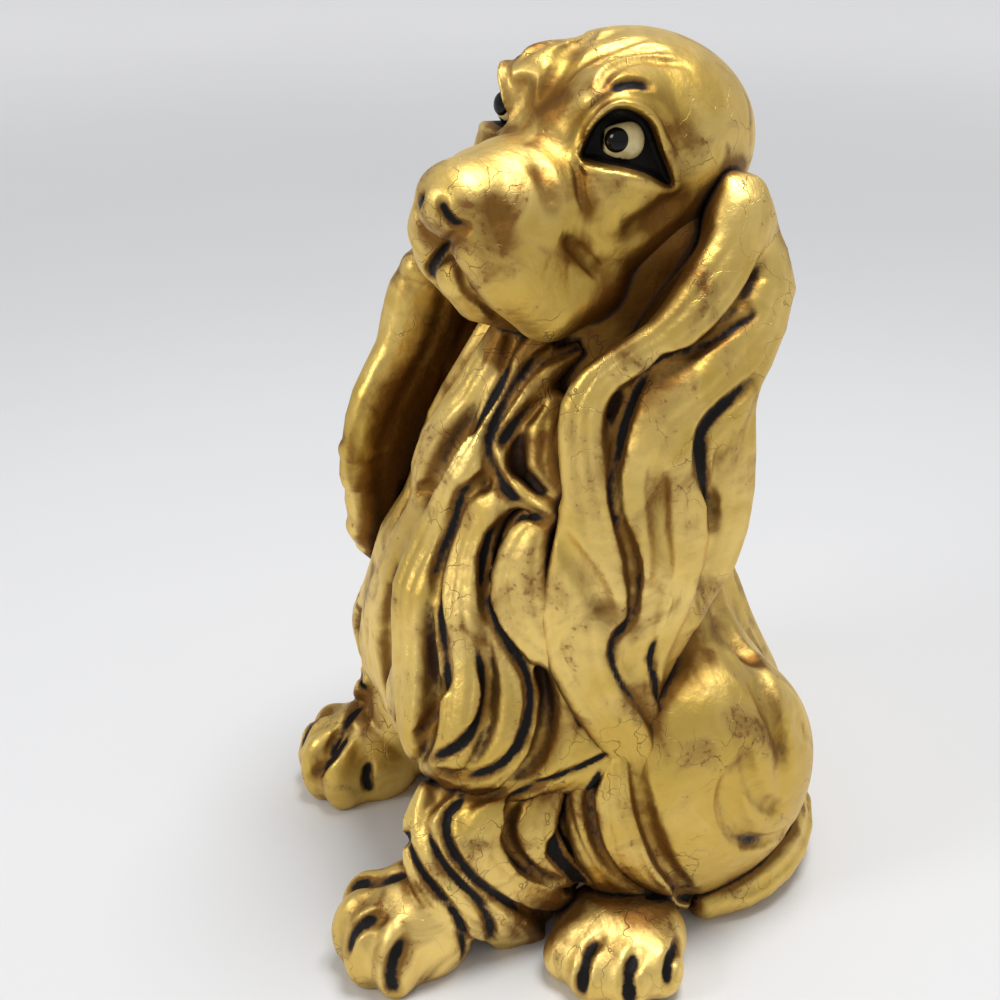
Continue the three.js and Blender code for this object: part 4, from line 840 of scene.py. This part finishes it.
# Where ruff, foreleg and haunch run into each other, so that each line goes through all three
SHARED_GROOVES = [
    ([(62, -66, 81), (68, -50, 81), (72, -38, 84), (75, -26, 88), (77, -17, 92),
      (80, -8, 100)], 2.4, 3),
    ([(71, -42, 83), (68, -50, 81), (65, -62, 79), (66, -69, 75), (70, -71, 68), (75, -67, 58),
      (77, -56, 42), (74, -40, 24), (74, -27, 18)], 3.4, 5.5),
    ([(73, -34, 84), (69, -43, 77), (69, -47, 66), (73, -46, 56), (76, -37, 45),
      (78, -27, 38)], 4.2, 7.5),
    ([(74, -26, 60), (77, -29, 54), (78, -22, 43), (76, -15, 28)], 5, 7),
]
RIGHT_PAW_GROOVES = [
    ([(-49, -80, 38), (-42, -87, 34), (-43, -93, 26), (-48, -99, 16)], 3.8, 4.5),
    ([(-38, -74, 26), (-37, -76, 17), (-38, -74, 8)], 3.6, 4),
]
HIND_FOOT_GROOVES = [
    ([(98, -18, 25), (102, -25, 22), (106, -28, 18), (108, -30, 6)], 4, 7),
    ([(109, -6, 24), (114, -12, 20), (118, -14, 16), (120, -13, 4)], 4.4, 8),
    ([(104, 14, 17), (110, 10, 20), (115, 4, 19), (118, 2, 12)], 3.6, 6),
]
FEATHER_LOCKS = [
    ([(28, 0.5), (29, 0.43), (32, 0.35), (36, 0.27), (41, 0.18), (44, 0.08), (45, 0)],
      [3, 6, 7, 6.5, 6, 6, 5]),
    ([(37, 0.52), (36, 0.46), (37, 0.39), (40, 0.31), (45, 0.2), (49, 0.1), (51, 0.01)],
      [3, 7, 8, 7, 6.5, 6, 5]),
    ([(46, 0.54), (43, 0.48), (42, 0.41), (45, 0.33), (50, 0.25), (57, 0.16), (63, 0.11)],
      [3, 7, 9.5, 9, 8, 6, 3]),
    ([(59, 0.56), (54, 0.49), (52, 0.42), (54, 0.35), (59, 0.27), (66, 0.21)], [3, 7, 9.5, 9, 7, 3]),
]


def paw(width, length, height):
    toe_half = width * 0.19
    pad = ellipsoid([0, length * 0.1, height * 0.38], [width / 2 - 2, length / 2 - 5, height * 0.6])
    toes = []
    for angle in TOE_ANGLES:
        x = math.sin(math.radians(angle)) * (width / 2 - toe_half)
        y = -math.cos(math.radians(angle)) * length * 0.26 - 1
        radii = [toe_half, length * 0.24, height * 0.45]
        toes.append(ellipsoid([x, y, height * 0.36], radii, [0, 0, angle * 0.6]))
    return join(TOE_BLEND, pad, *toes)


def foreleg_form():
    paw_x = STANCE_WIDTH / 2
    paw_y = chest_front - 5
    half = FORELEG_WIDTH / 2
    base = join(
        12,
        limb(
            [[paw_x, paw_y + 11, 24], [paw_x - 5, paw_y + 23, 58], [paw_x - 17, paw_y + 40, 96]],
            [half, half + 1, half - 3],
        ),
        ellipsoid([paw_x - 4, paw_y + 46, 38], [21, 37, 48]),
    )
    ground = ground_on(join(20, base, torso_base), SHOULDER_HEIGHT)
    locks = [lock(ground, route, halves) for route, halves in FEATHER_LOCKS]
    foot = placed(paw(PAW_WIDTH, PAW_LENGTH, PAW_HEIGHT), [paw_x + 2, paw_y - 2, 0], [0, 0, 6])
    feathered = join(SOFT_BLEND, bedded(base), *locks)
    leg = join(LOCK_BLEND, feathered, foot)
    return sunk(leg, cuts_on(leg, LEG_GROOVES, same, to_right_leg))


def to_right_leg(p):
    return mirror(p - (0, RIGHT_PAW_BACK, 0))


def right_foreleg_form(left):
    leg = placed(mirrored(left), (0, RIGHT_PAW_BACK, 0))
    return sunk(leg, cuts_on(leg, RIGHT_PAW_GROOVES, same))


def hind_foot_form():
    foot = paw(HIND_FOOT_WIDTH, HIND_FOOT_LENGTH, HIND_FOOT_HEIGHT)
    foot = placed(foot, [haunch_x + 30, -6, 0], [0, 0, 56])
    return sunk(foot, cuts_on(foot, HIND_FOOT_GROOVES, same, mirror))


TAIL_PIECES = 10


def tail_form():
    route = smooth_route(
        [[-6, back_y - 14, 18], [36, back_y - 12, 17], [62, back_y - 26, 15], [76, back_y - 48, 12],
         [78, back_y - 68, 8]], TAIL_PIECES)
    radii = [TAIL_WIDTH / 2 * (1 - 0.5 * (i / TAIL_PIECES) ** 2) for i in range(TAIL_PIECES + 1)]
    return sunk(limb(route, radii), [
        crease(route * (1.12, 1, 1) + (0, 12, 6), 4, 3),
        crease(route * (1.02, 1, 1) + (0, 3, 16), 4, 3),
    ])


# Polygonising


def in_chunks(form, p):
    return np.concatenate([form.d(p[i : i + CHUNK]) for i in range(0, len(p), CHUNK)])


def polygonised(form, step):
    """Points and quads of the form's surface above the floor, from the blocks that lie near it."""
    above_floor = Form(lambda p: np.maximum(form.d(p), -p[:, 2]), form.box)
    low = form.box[:3] - MARGIN
    low[2] = max(low[2], -MARGIN)
    block = BLOCK * step
    count = np.ceil((form.box[3:] + MARGIN - low) / block).astype(int)
    corners = low + np.indices(count).reshape(3, -1).T * block
    middle = in_chunks(above_floor, corners + (block - step) / 2)
    near = np.abs(middle) < block * math.sqrt(3) / 2 * STEEPEST
    inner = np.indices((BLOCK,) * 3).reshape(3, -1).T * step
    values = np.repeat(np.clip(middle, -MARGIN, MARGIN)[:, None], BLOCK**3, axis=1)
    points = (corners[near][:, None] + inner).reshape(-1, 3)
    values[near] = np.clip(in_chunks(above_floor, points), -MARGIN, MARGIN).reshape(-1, BLOCK**3)
    values = values.reshape(*count, BLOCK, BLOCK, BLOCK).transpose(0, 3, 1, 4, 2, 5)
    grid = openvdb.FloatGrid(MARGIN)
    grid.copyFromArray(values.reshape(count * BLOCK).astype(np.float32))
    surface, _, quads = grid.convertToPolygons(isovalue=0.0, adaptivity=0.0)
    return low + surface * step, quads


# Materials


def arithmetic(operation):
    """A way for a Shader to work with two numbers or sockets."""

    def combine(self, a, b):
        node = self.add("ShaderNodeMath", {"operation": operation})
        self.feed(node, 0, a)
        self.feed(node, 1, b)
        return node.outputs[0]

    return combine


class Shader:
    """A node material around one Principled BSDF."""

    plus = arithmetic("ADD")
    minus = arithmetic("SUBTRACT")
    times = arithmetic("MULTIPLY")
    most = arithmetic("MAXIMUM")

    def __init__(self, name, **constants):
        self.material = bpy.data.materials.new(name)
        self.material.use_nodes = True
        self.tree = self.material.node_tree
        self.surface = self.tree.nodes["Principled BSDF"]
        for key, value in constants.items():
            self.surface.inputs[key.replace("_", " ")].default_value = value
        self.place = self.add("ShaderNodeTexCoord").outputs["Object"]

    def add(self, kind, settings=None, **inputs):
        node = self.tree.nodes.new(kind)
        for key, value in (settings or {}).items():
            setattr(node, key, value)
        for key, value in inputs.items():
            self.feed(node, key.replace("_", " "), value)
        return node

    def feed(self, node, key, value):
        socket = node.inputs[key]
        if isinstance(value, bpy.types.NodeSocket):
            self.tree.links.new(value, socket)
        else:
            socket.default_value = value

    def coat(self, key, value):
        self.feed(self.surface, key, value)

    def noise(self, scale, detail=4, distortion=0):
        settings = {"Scale": scale, "Detail": detail, "Distortion": distortion}
        return self.add("ShaderNodeTexNoise", Vector=self.place, **settings).outputs["Fac"]

    def painted(self, name):
        return self.add("ShaderNodeAttribute", {"attribute_name": name}).outputs["Fac"]

    def ramp(self, value, low, high):
        """0 below low, 1 above high, smooth between. low may be over high."""
        smooth = {"interpolation_type": "SMOOTHSTEP"}
        node = self.add("ShaderNodeMapRange", smooth, Value=value, From_Min=low, From_Max=high)
        return node.outputs["Result"]

    def mix(self, factor, a, b):
        node = self.add("ShaderNodeMix", {"data_type": "RGBA"})
        self.feed(node, 0, factor)
        self.feed(node, 6, a)
        self.feed(node, 7, b)
        return node.outputs[2]

    def cracks(self, scale, width):
        """Fine lines of a crackled skin, 1 on the line."""
        bent = self.add("ShaderNodeTexNoise", Vector=self.place, Scale=scale * 0.8, Detail=3.0)
        shifted = self.add("ShaderNodeMix", {"data_type": "VECTOR"})
        self.feed(shifted, 0, 0.04)
        self.feed(shifted, 4, self.place)
        self.feed(shifted, 5, bent.outputs["Color"])
        edges = {"feature": "DISTANCE_TO_EDGE"}
        cells = self.add("ShaderNodeTexVoronoi", edges, Vector=shifted.outputs[1], Scale=scale)
        return self.ramp(cells.outputs["Distance"], width, 0.0)


def rgba(r, g, b):
    return (r, g, b, 1.0)


GOLD_LIGHT = rgba(0.95, 0.70, 0.235)
GOLD_DEEP = rgba(0.67, 0.455, 0.10)
# Glaze, dark stain and umber: partly the piece's own browns, partly painted shade in its hollows
GLAZE_AND_SHADE_BROWN = rgba(0.21, 0.088, 0.013)
DARK_STAIN_AND_SHADE = rgba(0.07, 0.025, 0.006)
BOLE = rgba(0.24, 0.09, 0.03)
UMBER_AND_SHADE = rgba(0.05, 0.022, 0.008)
BLACK = rgba(0.006, 0.005, 0.004)
CREAM = rgba(0.80, 0.68, 0.34)
AMBER = rgba(0.66, 0.50, 0.2)
PUPIL_BLACK = rgba(0.002, 0.002, 0.003)
PUPIL_BROWN = rgba(0.004, 0.003, 0.002)
PALE_FLOOR = rgba(0.725, 0.73, 0.735)
FLOOR_CLOUD = rgba(0.71, 0.715, 0.72)
BUMP_HEIGHT = 0.0012


def gilding():
    """Gold leaf, streaked and finely crackled, glazed brown in the valleys and black in the cuts,
    partly as painted shade.
    """
    s = Shader("gold leaf")
    socket = s.ramp(s.painted("socket"), 0.4, 0.6)
    fine = s.noise(230, 6)
    streak = s.minus(s.noise(48, 6, 0.8), 0.5)
    speckle = s.minus(s.noise(420, 3), 0.5)
    cut = s.painted("line")

    cloud = s.plus(s.noise(16, 3), s.times(streak, 0.6))
    leaf = s.mix(s.ramp(cloud, 0.3, 0.68), GOLD_DEEP, GOLD_LIGHT)
    # Brown glaze in the valleys, where the figure closes in: partly antiquing, partly painted shade
    valley = s.plus(s.painted("hollow"), s.times(s.painted("recess"), 0.6))
    valley = s.most(valley, s.painted("stain_and_shade"))
    valley = s.plus(valley, s.times(cut, 0.6))
    glaze_and_shade = s.ramp(s.plus(valley, s.times(streak, 2.8)), -0.06, 1.0)
    toned = s.mix(s.times(glaze_and_shade, 0.92), leaf, GLAZE_AND_SHADE_BROWN)
    # Darkest where the stains are strongest: partly stain, partly painted shade behind the cheeks
    toned = s.mix(s.times(s.ramp(s.painted("stain_and_shade"), 0.7, 1.5), 0.6), toned, DARK_STAIN_AND_SHADE)
    worn = s.times(s.ramp(s.plus(streak, s.times(speckle, 0.9)), 0.16, 0.3), 0.6)
    toned = s.mix(worn, toned, BOLE)

    lines = s.times(s.cracks(60, 0.016), s.ramp(s.noise(24), 0.46, 0.6))
    # Umber in recesses and grooves and beside the cuts: partly antiquing, partly painted shade
    hollow = s.plus(s.times(s.painted("recess"), 0.75), s.times(s.painted("groove"), 0.7))
    dirt_and_shade = s.ramp(s.plus(hollow, s.times(speckle, 0.5)), 0.5, 1.05)
    dirt_and_shade = s.most(dirt_and_shade, s.ramp(s.plus(cut, s.times(speckle, 0.5)), 0.4, 0.85))
    umber_and_shade = s.most(dirt_and_shade, s.times(lines, 0.6))
    # Black in the cuts and the socket, and painted shade at the bottom of the narrowest grooves
    ink_and_shade = s.ramp(s.plus(cut, s.times(speckle, 0.3)), 0.68, 0.9)
    deep = s.ramp(s.plus(s.painted("groove"), s.times(speckle, 0.4)), 0.7, 1.05)
    ink_and_shade = s.most(s.most(ink_and_shade, deep), socket)
    s.coat("Base Color", s.mix(ink_and_shade, s.mix(umber_and_shade, toned, UMBER_AND_SHADE), BLACK))

    matt = s.most(s.times(umber_and_shade, 0.8), ink_and_shade)
    s.coat("Metallic", s.minus(1.0, matt))
    s.coat("Specular IOR Level", s.minus(0.5, s.times(matt, 0.35)))
    rough = s.plus(0.26, s.times(s.noise(30, 5), 0.36))
    s.coat("Roughness", s.plus(rough, s.times(glaze_and_shade, 0.1)))

    relief = s.minus(s.times(fine, 0.35), s.times(lines, 0.25))
    relief = s.plus(relief, s.times(s.noise(75, 5), 1.5))
    bump = s.add("ShaderNodeBump", Height=relief, Strength=0.6, Distance=BUMP_HEIGHT)
    s.coat("Normal", bump.outputs["Normal"])
    return s.material


def eye_glass():
    s = Shader("cream eye glass", Roughness=0.08)
    tint = s.mix(s.ramp(s.noise(260), 0.3, 0.75), CREAM, AMBER)
    # Black at the ball's edge: painted shade where the lids close in on it, and the socket's black
    # paint
    rim = s.most(s.ramp(s.painted("groove"), 0.1, 0.6), s.painted("liner"))
    s.coat("Base Color", s.mix(rim, tint, BLACK))
    return s.material


def pupil_glass():
    s = Shader("black eye glass", Roughness=0.05, Specular_IOR_Level=0.25)
    s.coat("Base Color", s.mix(s.noise(300), PUPIL_BLACK, PUPIL_BROWN))
    return s.material


HAZE_STARTS = 0.6
HAZE_FULL = 2.6
HAZE = 0.30


def floor_paint():
    """Pale card that stays as light far off as it is near, to the eye and in the gilding."""
    s = Shader("pale card", Roughness=0.6, Emission_Color=rgba(1, 1, 1))
    s.coat("Base Color", s.mix(s.ramp(s.noise(3), 0.3, 0.7), PALE_FLOOR, FLOOR_CLOUD))
    far = s.add("ShaderNodeVectorMath", {"operation": "LENGTH"})
    s.tree.links.new(s.place, far.inputs[0])
    ray = s.add("ShaderNodeLightPath")
    seen = s.most(ray.outputs["Is Camera Ray"], ray.outputs["Is Glossy Ray"])
    seen = s.most(seen, ray.outputs["Is Transmission Ray"])
    haze = s.times(s.ramp(far.outputs["Value"], HAZE_STARTS, HAZE_FULL), HAZE)
    s.coat("Emission Strength", s.times(haze, seen))
    return s.material


# Eyes: glass balls with a domed pupil let into each

EYE_CENTRE = (eye_x - 1, 2.5, -0.5)
GAZE = {1: (0.34, -0.93, 0.34), -1: (-0.2, -0.94, 0.28)}
# The socket's black paint runs a little way on to the left ball, from (direction, how far off)
LINER = [((-0.72, -0.69, 0), 0.8), ((-0.32, 0.33, 0.89), 0.8), ((0.32, -0.33, -0.89), 0.86)]
LINER_EDGE = 0.05
RIGHT_EYE_OUT = (-2, -1, 0)
EYE_SEGMENTS = 48
PUPIL_SINK = 1.6
PUPIL_DOME = 2.1
DOME_RINGS = 12
POLE = 0.01


def revolved(profile):
    """Points and quads of a profile of (radius, height) turned about z, from axis to axis."""
    count = EYE_SEGMENTS
    here = np.arange(count)
    angles = here * 2 * math.pi / count
    across, along = np.cos(angles), np.sin(angles)
    rings = [np.column_stack([r * across, r * along, np.full(count, h)]) for r, h in profile]
    after = (here + 1) % count
    band = np.column_stack([here, after, count + after, count + here])
    return np.vstack(rings), np.vstack([band + n * count for n in range(len(profile) - 1)])


def aimed(points, side):
    """From a frame with z along the gaze to the place of that eye."""
    centre = np.array(EYE_CENTRE) * (side, 1, 1)
    if side < 0:
        centre += RIGHT_EYE_OUT
    turn = np.array(Vector(GAZE[side]).to_track_quat("Z", "Y").to_matrix())
    return (points @ turn.T + centre) @ turned(HEAD_TURN).T + HEAD_ORIGIN


def eyeball(side):
    angles = np.linspace(-math.pi / 2, math.pi / 2, EYE_SEGMENTS // 2)
    profile = [(max(eye_ball * math.cos(a), POLE), eye_ball * math.sin(a)) for a in angles]
    points, quads = revolved(profile)
    return aimed(points, side), quads


def liner_on(points):
    out = to_face(points) - EYE_CENTRE
    out /= np.linalg.norm(out, axis=1, keepdims=True)
    painted = [(out @ way - start) / LINER_EDGE for way, start in LINER]
    return np.clip(np.max(painted, axis=0), 0, 1)


def pupil(side):
    radius = PUPIL_DIAMETER / 2
    seat = math.sqrt(eye_ball**2 - radius**2) - PUPIL_SINK
    top = seat + PUPIL_SINK + 0.2
    angles = np.linspace(0, math.pi / 2, DOME_RINGS)
    dome = [(max(radius * math.cos(a), POLE), top + PUPIL_DOME * math.sin(a)) for a in angles]
    points, quads = revolved([(POLE, seat), (radius, seat), *dome])
    return aimed(points, side), quads


# Pieces


def add_object(name, data):
    added = bpy.data.objects.new(name, data)
    bpy.context.scene.collection.objects.link(added)
    return added


def add_mesh(name, points, faces, material):
    mesh = bpy.data.meshes.new(name)
    mesh.from_pydata(((points + FOOTPRINT_SHIFT) * MM).tolist(), [], faces.tolist())
    mesh.materials.append(material)
    mesh.validate()
    mesh.shade_smooth()
    return add_object(name, mesh)


def mark(piece, name, values):
    layer = piece.data.attributes.new(name, "FLOAT", "POINT")
    layer.data.foreach_set("value", values.astype(np.float32))


def normals_of(piece):
    normals = np.empty(len(piece.data.vertices) * 3)
    piece.data.vertex_normals.foreach_get("vector", normals)
    return normals.reshape(-1, 3)


# Attribute: how far off the rest of the figure must be for a point to count as open
REACHES = {"groove": 2.0, "recess": 7, "hollow": 20}


def hidden_by(everything, points, normals, reach):
    """How far the figure closes in on each point: 0 on open ground, 1 deep in a groove."""
    room = in_chunks(everything, points + normals * reach)
    return np.clip(1 - room / reach, 0, 1)


def declare(piece, node):
    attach(piece, "root")
    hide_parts(node)


torso = torso_form()
ruff = ruff_form()
left_leg = foreleg_form()
left_foot = hind_foot_form()
shared = cuts_on(join(LOCK_BLEND, torso, ruff, left_leg), SHARED_GROOVES, same, to_right_leg)
both_shared = shared + [seen_through(to_right_leg, cut) for cut in shared]
left_leg = sunk(left_leg, shared)
FORMS = {
    "torso": sunk(torso, both_shared),
    "head": head_form(),
    "ear_left": ear_form(1, LEFT_SHEET, 0, EAR_SPREAD, EAR_LENGTH, 0),
    "ear_right": ear_form(
        -1, RIGHT_SHEET, RIGHT_LOCKS_BACK, RIGHT_EAR_SPREAD, RIGHT_EAR_LENGTH, RIGHT_EAR_SWING),
    "chest_ruff": sunk(ruff, both_shared),
    "foreleg_left": left_leg,
    "foreleg_right": right_foreleg_form(left_leg),
    "hind_foot_left": left_foot,
    "hind_foot_right": mirrored(left_foot),
    "tail": tail_form(),
}
everything = join(0.5, *FORMS.values())

gold = gilding()
for node, form in FORMS.items():
    points, quads = polygonised(form, HEAD_STEP if node == "head" else BODY_STEP)
    piece = add_mesh(f"gilded_{node}", points, quads, gold)
    normals = normals_of(piece)
    for name, reach in REACHES.items():
        mark(piece, name, hidden_by(everything, points, normals, reach))
    mark(piece, "stain_and_shade", stained_and_shaded(points))
    mark(piece, "line", blackness(points))
    mark(piece, "socket", np.clip(0.5 - almond_distance(to_head(points)), 0, 1) * (node == "head"))
    declare(piece, node)

glass = eye_glass()
black = pupil_glass()
for side, hand in ((1, "left"), (-1, "right")):
    points, quads = eyeball(side)
    ball = add_mesh(f"glass_eye_{hand}", points, quads, glass)
    mark(ball, "groove", hidden_by(FORMS["head"], points, normals_of(ball), REACHES["groove"]))
    mark(ball, "liner", liner_on(points) * (side > 0))
    declare(ball, f"eye_{hand}")
    dome = add_mesh(f"glass_pupil_{hand}", *pupil(side), black)
    declare(dome, f"pupil_{hand}")


# Floor and lamps, in metres and watts, and the camera, placed in millimetres like the forms

FLOOR_SIZE = 12.0
LIT_SPOT = (0, 0, 0.18)
WORLD_COLOUR = rgba(0.5, 0.5, 0.515)
CAMERA_PLACE = (470.43, -194.9, 425.58)
CAMERA_AZIMUTH = 70
CAMERA_PITCH = 27
FOCAL_LENGTH = 50.4


def add_floor():
    mesh = bpy.data.meshes.new("floor")
    h = FLOOR_SIZE / 2
    mesh.from_pydata([(-h, -h, 0), (h, -h, 0), (h, h, 0), (-h, h, 0)], [], [(0, 1, 2, 3)])
    mesh.materials.append(floor_paint())
    floor = add_object("floor", mesh)


def add_softbox(name, place, size, power):
    lamp = bpy.data.lights.new(name, "AREA")
    lamp.shape = "DISK"
    lamp.size = size
    lamp.energy = power
    light = add_object(name, lamp)
    light.location = place
    light.rotation_euler = (Vector(LIT_SPOT) - Vector(place)).to_track_quat("-Z", "Y").to_euler()


def add_world():
    world = bpy.data.worlds.new("studio")
    world.use_nodes = True
    world.node_tree.nodes["Background"].inputs["Color"].default_value = WORLD_COLOUR
    bpy.context.scene.world = world


def add_camera():
    camera = add_object("camera", bpy.data.cameras.new("camera"))
    camera.data.lens = FOCAL_LENGTH
    camera.location = (np.array(CAMERA_PLACE) + FOOTPRINT_SHIFT) * MM
    a = math.radians(CAMERA_AZIMUTH)
    e = math.radians(CAMERA_PITCH)
    aim = Vector((-math.sin(a) * math.cos(e), math.cos(a) * math.cos(e), -math.sin(e)))
    camera.rotation_euler = aim.to_track_quat("-Z", "Y").to_euler()
    bpy.context.scene.camera = camera


add_floor()
add_softbox("top", (0.1, 0.2, 1.5), 0.6, 14.5)
add_softbox("side", (0.2, -1.4, 1.0), 0.5, 6.5)
add_world()
add_camera()
bpy.context.scene.view_settings.view_transform = "Standard"
